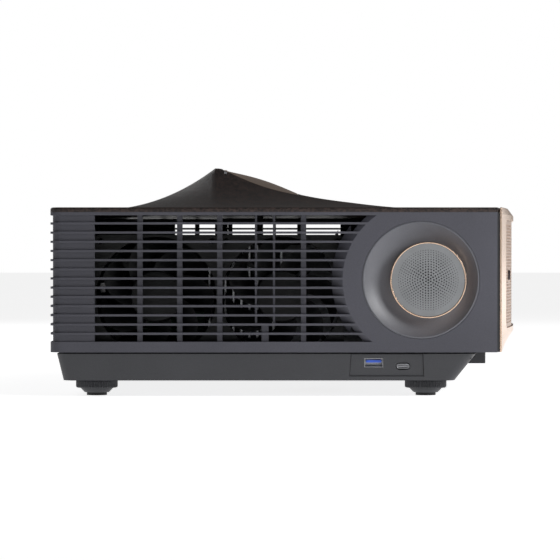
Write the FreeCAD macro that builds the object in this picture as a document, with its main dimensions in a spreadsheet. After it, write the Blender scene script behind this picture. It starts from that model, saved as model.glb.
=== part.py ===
import FreeCAD, Part

import math
import os
import re

import Sketcher

# Home projector, in millimetres, +Z up.  The lens looks along -Y, and +X is on
# the right as seen from in front.  The origin is on the floor, under the middle
# of the outer box.  "right" pieces are on the -X side, the projector's own right.

SIZES = (
    ("body_width", 400, "over the two side panels"),
    ("body_depth", 353.5, "rear panel to the middle of the bowed front"),
    ("ground_clearance", 12, "floor to the underside of the pan"),
    ("pan_height", 19.8, "underside to the rim of the bottom pan"),
    ("shadow_gap", 1.1, "dark line between the pan and the panels"),
    ("panel_height", 102.5, "height of the side and rear panels"),
    ("cover_edge", 3.5, "thickness of the top cover at its edge"),
    ("hump_rise", 33.2, "ridge above the top cover"),
    ("front_bow", 23.3, "how far the front bows out in the middle"),
    ("front_step", 3.1, "ends of the front to the side panels"),
    ("corner_radius", 8, "vertical rear corners"),
    ("panel_wall", 3, "panel wall where it has no vent"),
    ("fin_depth", 6, "depth of the vent fins"),
    ("vent_pitch", 6.72, "one fin and one gap"),
    ("fin_thickness", 1.6, "thickness of one vent fin"),
    ("vent_margin", 2.3, "panel top to the first vent gap"),
    ("bottom_band", 7, "plain band under the vent"),
    ("rear_recess", 32.8, "closed part of the vent at the rear corner"),
    ("recess_depth", 1.8, "depth of the closed grooves"),
    ("corner_return", 14, "side panel round the rear corner"),
    ("dish_setback", 55.95, "front edge of the side panel to the dish centre"),
    ("dish_height", 52.9, "bottom of the side panel to the dish centre"),
    ("dish_radius", 43.1, "hole for the speaker dish"),
    ("dish_margin", 14, "flush ring between the dish and the vent ramp"),
    ("ramp_run", 8, "length of the ramp at the end of each vent gap"),
    ("driver_offset", 5.5, "speaker disc forward of the dish centre"),
    ("driver_radius", 27.9, "outside of the gold ring"),
    ("ring_wall", 1.1, "wall of the gold ring"),
    ("grille_thickness", 1, "perforated sheets"),
    ("grille_back", 2.4, "face of the trim to the back of the front grille"),
    ("hole_radius", 0.5, "perforations of the speaker grille"),
    ("hole_rings", 12, "rings of perforations"),
    ("hole_pitch", 1.9, "between rings of perforations"),
    ("pan_wall", 4, "walls of the pan"),
    ("pan_floor", 3, "floor of the pan"),
    ("pan_inset", 2.5, "rim of the pan inside the side panels"),
    ("pan_slope", 4.5, "how far the pan leans in from rim to underside"),
    ("pan_nose", 41.2, "front face to the rim of the pan"),
    ("pan_nose_slope", 15.5, "lean of the front of the pan"),
    ("foot_spread", 330, "between the feet, side to side"),
    ("foot_base", 244.7, "between the feet, front to rear"),
    ("foot_rear", 32, "rear of the case to the rear feet"),
    ("foot_radius", 15.5, "knurled disc of a foot"),
    ("stud_radius", 3.9, "M8 stud of a foot"),
    ("stud_length", 14.5, "stud above the disc"),
    ("foot_pad_radius", 7.5, "rubber pad under a foot"),
    ("fit_gap", 0.1, "radial gap of a turning fit"),
    ("moving_gap", 0.4, "gap beside a moving piece"),
    ("skin", 1.2, "thickness of the gold front trim"),
    ("trim_end", 25, "plain end of the front trim"),
    ("trim_rail", 4, "plain rail over and under the front grille"),
    ("lower_bevel", 13, "height of the bevel under the front"),
    ("lower_bevel_run", 11.3, "depth of the bevel under the front"),
    ("upper_bevel", 5, "height and depth of the bevel over the front"),
    ("lens_height", 90, "floor to the lens axis"),
    ("collar_radius", 38, "outside of the lens collar"),
    ("collar_wall", 3, "wall of the lens collar"),
    ("barrel_radius", 24, "outside of the lens barrel"),
    ("barrel_wall", 3, "wall of the lens barrel"),
    ("ring_thickness", 2.7, "zoom and focus rings"),
    ("shift_travel", 5, "lens shift each way"),
    ("window_width", 16, "infrared window in the front"),
    ("window_height", 7, "infrared window in the front"),
    ("window_inset", 63, "side of the case to the window centre"),
    ("window_level", 89, "floor to the window centre"),
    ("chin_half", 140, "half the width of the chin bar"),
    ("chin_height", 10.3, "height of the chin bar"),
    ("chin_bow", 7.4, "how far the chin bar bows out"),
    ("chin_setback", 7.2, "ends of the front to the ends of the chin"),
    ("ridge_rear", 117.2, "rear of the case to the ridge of the hump"),
    ("ridge_flat", 4.8, "flat on top of the ridge"),
    ("ridge_half", 62, "half the width of the ridge"),
    ("hump_half", 165, "half the width of the hump at its foot"),
    ("hump_back", 62.8, "length of the rear slope"),
    ("ramp_length", 61.9, "length of the gold ramp"),
    ("ramp_drop", 20.7, "fall of the gold ramp"),
    ("apron_length", 47, "length of the slope in front of the ramp"),
    ("hump_wall", 3, "wall of the hump"),
    ("lid_thickness", 2.4, "gold lid on the ramp"),
    ("lid_front_half", 88, "half the width of the lid at its front"),
    ("lid_rear_half", 57, "half the width of the lid at the hinge"),
    ("knuckle_radius", 2.2, "hinge knuckle of the lid"),
    ("pin_radius", 1.2, "hinge pin of the lid"),
    ("swing_gap", 1.8, "room round the knuckle for the root of the lid as it swings"),
    ("port_plate_setback", 96.95, "front of the case to the port plate centre"),
    ("port_plate_width", 54.4, "width of the port plate"),
    ("port_plate_height", 16.1, "height of the port plate"),
    ("fan_size", 92, "square frame of a fan"),
    ("fan_depth", 25.4, "depth of a fan"),
    ("fan_pitch", 92.9, "between the two right fans"),
    ("fan_rear", 76.85, "rear of the case to the first fan axis"),
    ("fan_inset", 22, "side of the case to a fan"),
    ("fan_level", 73, "floor to the fan axes"),
    ("hub_radius", 19, "fan hub"),
    ("engine_half", 55, "half the width of the light engine"),
    ("engine_length", 142, "length of the light engine"),
    ("engine_height", 85, "height of the light engine"),
    ("board_thickness", 1.6, "printed circuit boards"),
    ("bay_left", -70, "connector bay, towards -X"),
    ("bay_right", 152, "connector bay, towards +X"),
    ("bay_bottom", 44, "floor to the bottom of the connector bay"),
    ("bay_height", 34, "height of the connector bay"),
    ("bay_depth", 14, "depth of the connector bay"),
    ("key_radius", 4.4, "keys on the rear panel"),
)

HALF = "(body_width / 2)"
REAR = "(body_depth / 2)"
FRONT = "(-body_depth / 2)"
FACE_END = f"({FRONT} + front_bow)"
PANEL_FRONT = f"({FACE_END} + front_step)"
PAN_TOP = "(ground_clearance + pan_height)"
PAN_FLOOR = "(ground_clearance + pan_floor)"
PANEL_BOTTOM = f"({PAN_TOP} + shadow_gap)"
PANEL_TOP = f"({PANEL_BOTTOM} + panel_height)"
COVER_TOP = f"({PANEL_TOP} + cover_edge)"
RIDGE_TOP = f"({COVER_TOP} + hump_rise)"
DISH_Y = f"({PANEL_FRONT} + dish_setback)"
DISH_Z = f"({PANEL_BOTTOM} + dish_height)"
DRIVER_Y = f"({DISH_Y} - driver_offset)"
PAN_NOSE = f"({FRONT} + pan_nose)"
RIDGE_Y = f"({REAR} - ridge_rear)"
RAMP_FOOT_Y = f"({RIDGE_Y} - ridge_flat - ramp_length)"
RAMP_FOOT_Z = f"({RIDGE_TOP} - ramp_drop)"
REACH = 5          # how far a cutting tool runs past what it cuts
SIDES = (("right", -1), ("left", 1))

doc = FreeCAD.newDocument("HomeProjector")
sheet = doc.addObject("Spreadsheet::Sheet", "Sizes")
for row, (alias, number, note) in enumerate(SIZES, start=1):
    sheet.set(f"A{row}", alias)
    sheet.set(f"B{row}", str(number))
    sheet.set(f"C{row}", note)
    sheet.setAlias(f"B{row}", alias)
doc.recompute()

NAMES = re.compile(r"\b(" + "|".join(alias for alias, _, _ in SIZES) + r")\b")
nodes = []


def bound(expression):
    """An expression with each size name turned into its cell of the sheet."""
    return NAMES.sub(r"Sizes.\1", str(expression))


def value(expression):
    """What an expression comes to with the sheet's present sizes."""
    return float(sheet.evalExpression(bound(expression)))


def tie(thing, **expressions):
    """Bind properties to expressions; a double underscore stands for a dot."""
    for path, expression in expressions.items():
        thing.setExpression(path.replace("__", "."), bound(expression))
    return thing


def place(thing, x=0, y=0, z=0):
    """Bind the position of a piece."""
    return tie(thing, Placement__Base__x=x, Placement__Base__y=y, Placement__Base__z=z)


def node(name, thing):
    """Make a piece of the assembly: its label is the name of its file."""
    thing.Label = name
    nodes.append(thing)
    return thing


# ---------------------------------------------------------------- solid tools

TURNS = {
    "z": FreeCAD.Rotation(),
    "-z": FreeCAD.Rotation(FreeCAD.Vector(1, 0, 0), 180),
    "x": FreeCAD.Rotation(FreeCAD.Vector(0, 1, 0), 90),
    "-x": FreeCAD.Rotation(FreeCAD.Vector(0, 1, 0), -90),
    "y": FreeCAD.Rotation(FreeCAD.Vector(1, 0, 0), -90),
}


def box(name, x, y, z):
    """Block between two values on each axis."""
    block = doc.addObject("Part::Box", name)
    tie(block, Length=f"({x[1]}) - ({x[0]})", Width=f"({y[1]}) - ({y[0]})", Height=f"({z[1]}) - ({z[0]})")
    return place(block, x[0], y[0], z[0])


def along(thing, axis, start, centre):
    """Lay a round piece along an axis from its start; centre is its other two coordinates."""
    thing.Placement = FreeCAD.Placement(FreeCAD.Vector(), TURNS[axis])
    first, second = centre
    spots = {"x": (start, first, second), "y": (first, start, second), "z": (first, second, start)}
    return place(thing, *spots[axis])


def rod(name, axis, radius, span, centre):
    """Round bar along an axis."""
    bar = doc.addObject("Part::Cylinder", name)
    tie(bar, Radius=radius, Height=f"({span[1]}) - ({span[0]})")
    return along(bar, axis, span[0], centre)


def taper(name, axis, radii, span, centre):
    """Cone frustum along an axis."""
    frustum = doc.addObject("Part::Cone", name)
    tie(frustum, Radius1=radii[0], Radius2=radii[1], Height=f"({span[1]}) - ({span[0]})")
    return along(frustum, axis, span[0], centre)


def join(name, parts):
    """Union of several pieces, or one piece as it is."""
    if len(parts) == 1:
        return parts[0]
    union = doc.addObject("Part::MultiFuse", name)
    union.Shapes = list(parts)
    union.Refine = True
    return union


def group(name, parts):
    """Separate solids kept in one piece, such as four equal screws."""
    bunch = doc.addObject("Part::Compound", name)
    bunch.Links = list(parts)
    return bunch


def carve(name, base, tools):
    """A piece with the tools cut out of it."""
    cut = doc.addObject("Part::Cut", name)
    cut.Base = base
    cut.Tool = join(f"{name}_tools", tools)
    cut.Refine = True
    return cut


def overlap(name, first, second):
    """What two pieces have in common."""
    common = doc.addObject("Part::Common", name)
    common.Base = first
    common.Tool = second
    return common


# ------------------------------------------------------- sketches and bodies

PLANES = {"xy": ("XY_Plane", 1), "xz": ("XZ_Plane", -1), "yz": ("YZ_Plane", 1)}


def arc_between(start, end, radius):
    """Short arc; a positive radius has its centre on the left of the way from start to end."""
    middle = (start + end) / 2
    chord = end - start
    size = abs(radius)
    rise = math.sqrt(max(size * size - chord.Length ** 2 / 4, 0))
    normal = FreeCAD.Vector(-chord.y, chord.x, 0).normalize()
    side = 1 if radius > 0 else -1
    centre = middle + normal * rise * side
    top = centre - normal * size * side
    return Part.Arc(start, top, end)


def sketch(body, name, plane, level, outline):
    """Closed outline on one of the body's own planes, every corner bound to the sheet.

    A corner is (a, b), or (a, b, radius) where an arc leaves it for the next corner.
    """
    role, sign = PLANES[plane]
    drawing = body.newObject("Sketcher::SketchObject", name)
    support = next(item for item in body.Origin.OriginFeatures if item.Role == role)
    drawing.AttachmentSupport = (support, [""])
    drawing.MapMode = "FlatFace"
    tie(drawing, AttachmentOffset__Base__z=f"{sign} * ({level})")
    spots = [FreeCAD.Vector(value(corner[0]), value(corner[1]), 0) for corner in outline]
    count = len(outline)
    starts = []
    for index, corner in enumerate(outline):
        here, there = spots[index], spots[(index + 1) % count]
        if len(corner) == 3:
            radius = value(corner[2])
            drawing.addGeometry(arc_between(here, there, radius))
            starts.append(1 if radius > 0 else 2)
        else:
            drawing.addGeometry(Part.LineSegment(here, there))
            starts.append(1)
    for index in range(count):
        after = (index + 1) % count
        drawing.addConstraint(
            Sketcher.Constraint("Coincident", index, 3 - starts[index], after, starts[after])
        )
    for index, corner in enumerate(outline):
        for kind, place_value, expression in (
            ("DistanceX", spots[index].x, corner[0]),
            ("DistanceY", spots[index].y, corner[1]),
        ):
            link = Sketcher.Constraint(kind, -1, 1, index, starts[index], place_value)
            number = drawing.addConstraint(link)
            drawing.setExpression(f"Constraints[{number}]", bound(expression))
        if len(corner) == 3:
            size = abs(value(corner[2]))
            number = drawing.addConstraint(Sketcher.Constraint("Radius", index, size))
            drawing.setExpression(f"Constraints[{number}]", bound(f"abs({corner[2]})"))
    return drawing


def slab(name, plane, span, outline):
    """Outline padded along the plane's normal between two levels."""
    body = doc.addObject("PartDesign::Body", name)
    start = span[1] if plane == "xz" else span[0]
    drawing = sketch(body, f"{name}_sketch", plane, start, outline)
    pad = body.newObject("PartDesign::Pad", f"{name}_pad")
    pad.Profile = drawing
    tie(pad, Length=f"({span[1]}) - ({span[0]})")
    return body


def turned(name, outline, axis, x=0, y=0, z=0):
    """Outline of (radius, height) corners turned about the piece's own axis."""
    body = doc.addObject("PartDesign::Body", name)
    drawing = sketch(body, f"{name}_sketch", "xz", 0, outline)
    lathe = body.newObject("PartDesign::Revolution", f"{name}_turn")
    lathe.Profile = drawing
    lathe.ReferenceAxis = (drawing, ["V_Axis"])
    lathe.Angle = 360
    body.Placement = FreeCAD.Placement(FreeCAD.Vector(), TURNS[axis])
    return place(body, x, y, z)


def lofted(name, sections):
    """Straight-sided loft through outlines at rising levels, each (level, outline)."""
    body = doc.addObject("PartDesign::Body", name)
    drawings = [
        sketch(body, f"{name}_level_{index}", "xy", level, outline)
        for index, (level, outline) in enumerate(sections)
    ]
    loft = body.newObject("PartDesign::AdditiveLoft", f"{name}_loft")
    loft.Profile = drawings[0]
    loft.Sections = drawings[1:]
    loft.Ruled = True
    return body


def side_x(side, inset):
    """X of a plane at some distance in from the outside of a side panel."""
    return f"({side} * ({HALF} - ({inset})))"


def across(side, outer, inner):
    """Pair of X values, lower first, between two distances in from a side."""
    pair = (side_x(side, outer), side_x(side, inner))
    return pair if side < 0 else (pair[1], pair[0])


def rounded(left, right, front, rear, radius):
    """Plan outline of a rectangle with four round corners."""
    return (
        (f"{left} + {radius}", front),
        (f"{right} - {radius}", front, radius),
        (right, f"{front} + {radius}"),
        (right, f"{rear} - {radius}", radius),
        (f"{right} - {radius}", rear),
        (f"{left} + {radius}", rear, radius),
        (left, f"{rear} - {radius}"),
        (left, f"{front} + {radius}", radius),
    )


# ------------------------------------------------------------------ the case


def bow_radius(half, bow):
    """Radius of an arc from its half chord and its rise."""
    return f"((({half}) ^ 2 + ({bow}) ^ 2) / (2 * ({bow})))"


def bowed_band(half, face, bow, thickness):
    """Plan outline of a bowed strip of even thickness."""
    radius = bow_radius(half, bow)
    return (
        (f"-({half})", face, radius),
        (half, face),
        (half, f"{face} + {thickness}", f"-{radius}"),
        (f"-({half})", f"{face} + {thickness}"),
    )


def bowed_block(half, back, face, bow):
    """Plan outline with a straight back and a bowed front."""
    return (
        (f"-({half})", face, bow_radius(half, bow)),
        (half, face),
        (half, back),
        (f"-({half})", back),
    )


LOW_BOW = "(front_bow - lower_bevel_run)"
HIGH_BOW = "(front_bow - upper_bevel)"
FRONT_BOTTOM = f"({PANEL_BOTTOM} + 0.3)"
BEVEL_LOW = f"({PANEL_BOTTOM} + lower_bevel)"
BEVEL_HIGH = f"({COVER_TOP} - upper_bevel)"
WINDOW_HALF = f"({HALF} - trim_end)"
WINDOW_LOW = f"({BEVEL_LOW} + trim_rail)"
WINDOW_HIGH = f"({BEVEL_HIGH} - trim_rail)"
BOW_RADIUS = bow_radius(HALF, "front_bow")
EYE_X = (f"(-{HALF} + window_inset - window_width / 2)", f"(-{HALF} + window_inset + window_width / 2)")
EYE_Z = ("(window_level - window_height / 2)", "(window_level + window_height / 2)")


def pan_outline(inset, height):
    """Plan outline of the pan at a height above its underside, some way in from its outside."""
    lean = f"(pan_slope * (1 - ({height}) / pan_height) + pan_inset + {inset})"
    nose = f"(pan_nose_slope * (1 - ({height}) / pan_height) + {inset})"
    right, left = f"(-{HALF} + {lean})", f"({HALF} - {lean})"
    return rounded(right, left, f"({PAN_NOSE} + {nose})", f"({REAR} - {lean} - 2)", "corner_radius")


def foot_places():
    """The four feet: name, x and y."""
    rear = f"({REAR} - foot_rear)"
    for end, y in (("front", f"({rear} - foot_base)"), ("rear", rear)):
        for name, side in SIDES:
            yield f"{end}_{name}", f"({side} * foot_spread / 2)", y


def port_plate_outline(margin):
    """Outline of the port plate seen from the side: a low trapezoid."""
    middle = f"({FRONT} + port_plate_setback + 10)"
    half = f"(port_plate_width / 2 + {margin})"
    low = f"({PAN_FLOOR} + 0.4 - {margin})"
    high = f"({PAN_FLOOR} + 0.4 + port_plate_height + {margin})"
    return (
        (f"{middle} - {half}", low),
        (f"{middle} + {half}", low),
        (f"{middle} + {half} - 1", high),
        (f"{middle} - {half} + 1", high),
    )


def bottom_pan():
    """Tray with sloping walls, foot bosses, board posts and air inlets."""
    shell = lofted(
        "pan_outside",
        (("ground_clearance", pan_outline("0", "0")), (PAN_TOP, pan_outline("0", "pan_height"))),
    )
    hollow = lofted(
        "pan_inside",
        (
            (PAN_FLOOR, pan_outline("pan_wall", "pan_floor")),
            (f"{PAN_TOP} + 1", pan_outline("pan_wall", "pan_height + 1")),
        ),
    )
    tray = carve("pan_tray", shell, [hollow])
    lip_half = f"({HALF} - fin_depth - 0.3)"
    lip_rear = f"({REAR} - fin_depth - 1)"
    lip_front = f"({PAN_NOSE} + pan_wall - 0.3)"
    lip_top = f"({PANEL_BOTTOM} + 3)"
    lip = carve(
        "pan_lip",
        box("lip_outside", (f"-{lip_half}", lip_half), (lip_front, lip_rear), (f"{PAN_TOP} - 4", lip_top)),
        [
            box(
                "lip_inside", (f"-{lip_half} + 3", f"{lip_half} - 3"),
                (f"{lip_front} - 1", f"{lip_rear} - 3"), (PAN_FLOOR, f"{lip_top} + 1"),
            )
        ],
    )
    additions = [tray, lip]
    holes = []
    for name, x, y in foot_places():
        additions.append(
            rod(f"boss_{name}", "z", "stud_radius + 6.1", (f"{PAN_FLOOR} - 1", f"{PAN_FLOOR} + 9"), (x, y))
        )
        holes.append(
            rod(
                f"boss_hole_{name}", "z", "stud_radius + 3.1",
                (f"ground_clearance - {REACH}", f"{PAN_FLOOR} + {REACH} + 5"), (x, y),
            )
        )
    for index, (x, y) in enumerate(ceiling_points()):
        additions.append(
            rod(f"ceiling_boss_{index}", "z", "6", (f"{PAN_FLOOR} - 1", f"{PAN_FLOOR} + 7"), (x, y))
        )
        holes.append(
            rod(
                f"ceiling_hole_{index}", "z", "2.1", (f"ground_clearance - {REACH}", f"{PAN_FLOOR} + 5"),
                (x, y),
            )
        )
    for index, (x, y, top) in enumerate(support_points()):
        additions.append(rod(f"post_{index}", "z", "4", (f"{PAN_FLOOR} - 1", top), (x, y)))
    for side_name, side in SIDES:
        for slot in range(9):
            left = f"({side} * 95 + ({slot} - 4) * 9)"
            holes.append(
                box(
                    f"inlet_{side_name}_{slot}", (f"{left} - 2.2", f"{left} + 2.2"), ("-40", "40"),
                    (f"ground_clearance - {REACH}", f"{PAN_FLOOR} + {REACH}"),
                )
            )
    holes.append(
        slab(
            "port_hole", "yz", (f"-{HALF} - {REACH}", f"-{HALF} + pan_inset + pan_slope + pan_wall + 2"),
            port_plate_outline("0.2"),
        )
    )
    screws = group("case_screws", case_screws())
    node("case_screws", screws)
    node("bottom_pan", carve("bottom_pan", join("pan_solids", additions), holes + list(screws.Links)))
    return shell


def ceiling_points():
    """Four threaded bosses for a ceiling bracket."""
    for x in (-120, 120):
        for y in (-75, 75):
            yield f"{x}", f"{y}"


def support_points():
    """Posts on the pan's floor: x, y and the level of their tops."""
    for side in (-1, 1):
        for y in (-92, 30):
            yield f"{side} * (engine_half - 10)", f"{y}", "27"
        yield f"{side} * 80 + 20", f"({REAR} - 20)", "46"
    for y in (-80, 40):
        for x in (75, 140):
            yield f"{x}", f"{y}", "30"


def vent_rows():
    """One flat block for each gap between fins, across the whole case."""
    usable = value("panel_height - vent_margin - bottom_band + fin_thickness")
    rows = []
    for row in range(int(usable / value("vent_pitch"))):
        top = f"({PANEL_TOP} - vent_margin - {row} * vent_pitch)"
        rows.append(
            box(
                f"vent_row_{row}", (f"-{HALF} - {REACH}", f"{HALF} + {REACH}"),
                (FRONT, f"{REAR} + {REACH}"), (f"{top} - vent_pitch + fin_thickness", top),
            )
        )
    return join("vent_rows", rows)


def side_panel(name, side, rows):
    """Side shell with its rear corner, vent fins, ribs and speaker hole."""
    far = side_x(side, "0")
    turn = -side
    wall_y = f"({REAR} - corner_radius)"
    shell = slab(
        f"{name}_shell", "xy", (PANEL_BOTTOM, PANEL_TOP),
        (
            (far, PANEL_FRONT),
            (far, wall_y, f"{-turn} * corner_radius"),
            (side_x(side, "corner_radius"), REAR),
            (side_x(side, "corner_return"), REAR),
            (side_x(side, "corner_return"), f"{REAR} - fin_depth"),
            (side_x(side, "corner_radius"), f"{REAR} - fin_depth", f"{turn} * (corner_radius - fin_depth)"),
            (side_x(side, "fin_depth"), wall_y),
            (side_x(side, "fin_depth"), PANEL_FRONT),
        ),
    )
    recess_front = f"({REAR} - rear_recess)"
    ring = slab(
        f"{name}_groove", "xy", (PANEL_BOTTOM, PANEL_TOP),
        (
            (side_x(side, f"-{REACH}"), recess_front),
            (side_x(side, f"-{REACH}"), f"{REAR} + {REACH}"),
            (side_x(side, f"corner_return + {REACH}"), f"{REAR} + {REACH}"),
            (side_x(side, f"corner_return + {REACH}"), f"{REAR} - recess_depth"),
            (
                side_x(side, "corner_radius"), f"{REAR} - recess_depth",
                f"{turn} * (corner_radius - recess_depth)",
            ),
            (side_x(side, "recess_depth"), wall_y),
            (side_x(side, "recess_depth"), recess_front),
        ),
    )
    open_part = box(
        f"{name}_open", across(side, -REACH, f"fin_depth + {REACH}"), (DISH_Y, recess_front),
        (PANEL_BOTTOM, PANEL_TOP),
    )
    flush = "(dish_radius + dish_margin)"
    radii = (f"{flush} - ramp_run / fin_depth", f"{flush} + ramp_run + ramp_run / fin_depth")
    ramp = taper(
        f"{name}_ramp", "x", radii if side < 0 else radii[::-1], across(side, "-1", "fin_depth + 1"), (
            DISH_Y, DISH_Z,
        )
    )
    gaps = overlap(
        f"{name}_gaps", rows, carve(f"{name}_gap_zone", join(f"{name}_zones", [ring, open_part]), [ramp]),
    )
    speaker_hole = rod(
        f"{name}_speaker_hole", "x", "dish_radius", across(side, -REACH, f"fin_depth + {REACH}"),
        (DISH_Y, DISH_Z),
    )
    relief = box(
        f"{name}_relief", across(side, "panel_wall", f"fin_depth + {REACH}"),
        (f"{PANEL_FRONT} + 8", f"{DISH_Y} + dish_radius + 8"), (f"{PANEL_BOTTOM} + 5", f"{PANEL_TOP} - 2"),
    )
    plate = carve(f"{name}_plate", shell, [gaps, speaker_hole, relief])
    rib_low = f"({PANEL_BOTTOM} + 4)"
    ribs = []
    for index, (back, width, low) in enumerate(rib_places()):
        middle = f"({REAR} - {back})"
        ribs.append(
            box(
                f"{name}_rib_{index}", across(side, "3.6", "fin_depth + 4"),
                (f"{middle} - {width} / 2", f"{middle} + {width} / 2"), (low, f"{PANEL_TOP} - 1.2"),
            )
        )
    ribs.append(
        box(
            f"{name}_rib_low", across(side, "3.6", "fin_depth + 4"), (f"{REAR} - 160", f"{REAR} - 154.7"),
            (rib_low, f"{PANEL_BOTTOM} + bottom_band + 2 * vent_pitch"),
        )
    )
    return node(name, join(name, [plate] + ribs))


def rib_places():
    """Ribs behind the fins: distance from the rear, width and lowest point."""
    low = f"({PANEL_BOTTOM} + 4)"
    high = f"({PANEL_BOTTOM} + bottom_band + 2 * vent_pitch)"
    return (
        (65.8, 3.9, low), (94.9, 3.9, low), (124.2, 3.9, low), (150.7, 1.6, high), (163.9, 1.6, high),
        (185.5, 3.9, low),
    )


def sockets():
    """Connectors in the bay: x, width, height, opening width and opening height."""
    return (
        (-52, 16, 14, 11.8, 9), (-30, 17, 7.6, 14.4, 4.6), (-8, 17, 7.6, 14.4, 4.6), (14, 15, 8, 12.6, 5),
        (34, 11, 11, 7, 7), (50, 11, 11, 7, 7),
    )


def rear_panel(rows):
    """Rear shell with shallow fins, the connector bay and three key holes."""
    edge = f"({HALF} - corner_return - 0.2)"
    plate = box("rear_plate", (f"-{edge}", edge), (f"{REAR} - 4", REAR), (PANEL_BOTTOM, PANEL_TOP))
    groove = box(
        "rear_groove", (f"-{edge} - 1", f"{edge} + 1"), (f"{REAR} - recess_depth", f"{REAR} + {REACH}"),
        (PANEL_BOTTOM, PANEL_TOP),
    )
    bay_low, bay_high = "bay_bottom", "(bay_bottom + bay_height)"
    frame = box(
        "bay_frame", ("bay_left - 5", "bay_right + 5"), (FRONT, f"{REAR} + {REACH}"),
        (f"{bay_low} - 5", f"{bay_high} + 5"),
    )
    keys = box(
        "key_field", ("-160", "-86"), (FRONT, f"{REAR} + {REACH}"), (f"{bay_low} - 5", f"{bay_high} + 5"),
    )
    plain = carve("rear_groove_zone", groove, [frame, keys])
    tray = box(
        "bay_tray", ("bay_left - 2", "bay_right + 2"), (f"{REAR} - bay_depth - 2", f"{REAR} - 3"),
        (f"{bay_low} - 2", f"{bay_high} + 2"),
    )
    inside = box(
        "bay_inside", ("bay_left", "bay_right"), (f"{REAR} - bay_depth", f"{REAR} + {REACH}"),
        (bay_low, bay_high),
    )
    holes = [overlap("rear_grooves", rows, plain), inside]
    for index, (x, width, height, _, _) in enumerate(sockets()):
        holes.append(
            box(
                f"socket_hole_{index}", (f"{x} - {width} / 2", f"{x} + {width} / 2"),
                (f"{REAR} - bay_depth - {REACH}", f"{REAR} - bay_depth + 1"),
                (SOCKET_LOW, f"{SOCKET_LOW} + {height}"),
            )
        )
    holes.append(
        box("inlet_hole", INLET_X, (f"{REAR} - bay_depth - {REACH}", f"{REAR} - bay_depth + 1"), INLET_Z)
    )
    for index, x in enumerate(KEY_XS):
        holes.append(
            rod(
                f"key_hole_{index}", "y", "key_radius + 0.35", (f"{REAR} - 20", f"{REAR} + {REACH}"),
                (x, KEY_Z),
            )
        )
    node("rear_panel", carve("rear_panel", join("rear_solids", [plate, tray]), holes))


SOCKET_LOW = "(bay_bottom + 4)"
INLET_X = ("112", "142")
INLET_Z = ("(bay_bottom + 5)", "(bay_bottom + 28)")
KEY_XS = ("-104", "-123", "-142")
KEY_Z = "(bay_bottom + bay_height / 2)"


# ------------------------------------------------------- top cover and its lid


def hump(name, inset):
    """Wave on the top cover: its side profile and its front profile, both with concave slopes."""
    foot = f"({COVER_TOP} - 1 - {inset})"
    ridge_rear = f"({RIDGE_Y} - {inset} / 2)"
    ridge_front = f"({RIDGE_Y} - ridge_flat + {inset} / 2)"
    top = f"({RIDGE_TOP} - {inset})"
    ramp_y = f"({RAMP_FOOT_Y} + {inset} / 2)"
    ramp_z = f"({RAMP_FOOT_Z} - {inset})"
    lengthways = slab(
        f"{name}_side", "yz", ("-hump_half - 1", "hump_half + 1"),
        (
            (f"{RAMP_FOOT_Y} - apron_length", foot, "190"),
            (ramp_y, ramp_z),
            (ridge_front, top),
            (ridge_rear, top, "180"),
            (f"{RIDGE_Y} + hump_back", foot),
        ),
    )
    crosswise = slab(
        f"{name}_front", "xz", (f"{RAMP_FOOT_Y} - apron_length - 1", f"{RIDGE_Y} + hump_back + 1"),
        (
            (f"-hump_half + {inset}", foot, "210"),
            (f"-ridge_half + {inset} / 2", top),
            (f"ridge_half - {inset} / 2", top, "210"),
            (f"hump_half - {inset}", foot),
        ),
    )
    return overlap(name, lengthways, crosswise)


RAMP_TILT = "atan(ramp_drop / ramp_length)"
HINGE_BACK = "3.5"
HINGE_Y = f"({RIDGE_Y} - ridge_flat - {HINGE_BACK})"
HINGE_Z = f"({RIDGE_TOP} - {HINGE_BACK} * ramp_drop / ramp_length - knuckle_radius / cos({RAMP_TILT}))"
LID_FRONT_Y = f"({RAMP_FOOT_Y} + 1.5)"
PIN_END = "(lid_rear_half + 5.5)"


def ramp_z(y, depth):
    """Height of the ramp at some Y, some way under its surface."""
    fall = f"({RIDGE_Y} - ridge_flat - ({y})) * ramp_drop / ramp_length"
    return f"({RIDGE_TOP} - {fall} - ({depth}) / cos({RAMP_TILT}))"


def lid_blank(name, gap, depth):
    """The lid's slab: a trapezoid in plan, following the ramp, grown by a gap."""
    plan = slab(
        f"{name}_plan", "xy", (PANEL_TOP, f"{RIDGE_TOP} + 20"),
        (
            (f"-lid_front_half - {gap}", f"{LID_FRONT_Y} - {gap}"),
            (f"lid_front_half + {gap}", f"{LID_FRONT_Y} - {gap}"),
            (f"lid_rear_half + {gap}", HINGE_Y),
            (f"-lid_rear_half - {gap}", HINGE_Y),
        ),
    )
    front = f"({LID_FRONT_Y} - 2)"
    sheet_side = slab(
        f"{name}_side", "yz", ("-lid_front_half - 5", "lid_front_half + 5"),
        (
            (front, ramp_z(front, depth)),
            (HINGE_Y, ramp_z(HINGE_Y, depth)),
            (HINGE_Y, ramp_z(HINGE_Y, 0)),
            (front, ramp_z(front, 0)),
        ),
    )
    return overlap(f"{name}_blank", plan, sheet_side)


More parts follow.
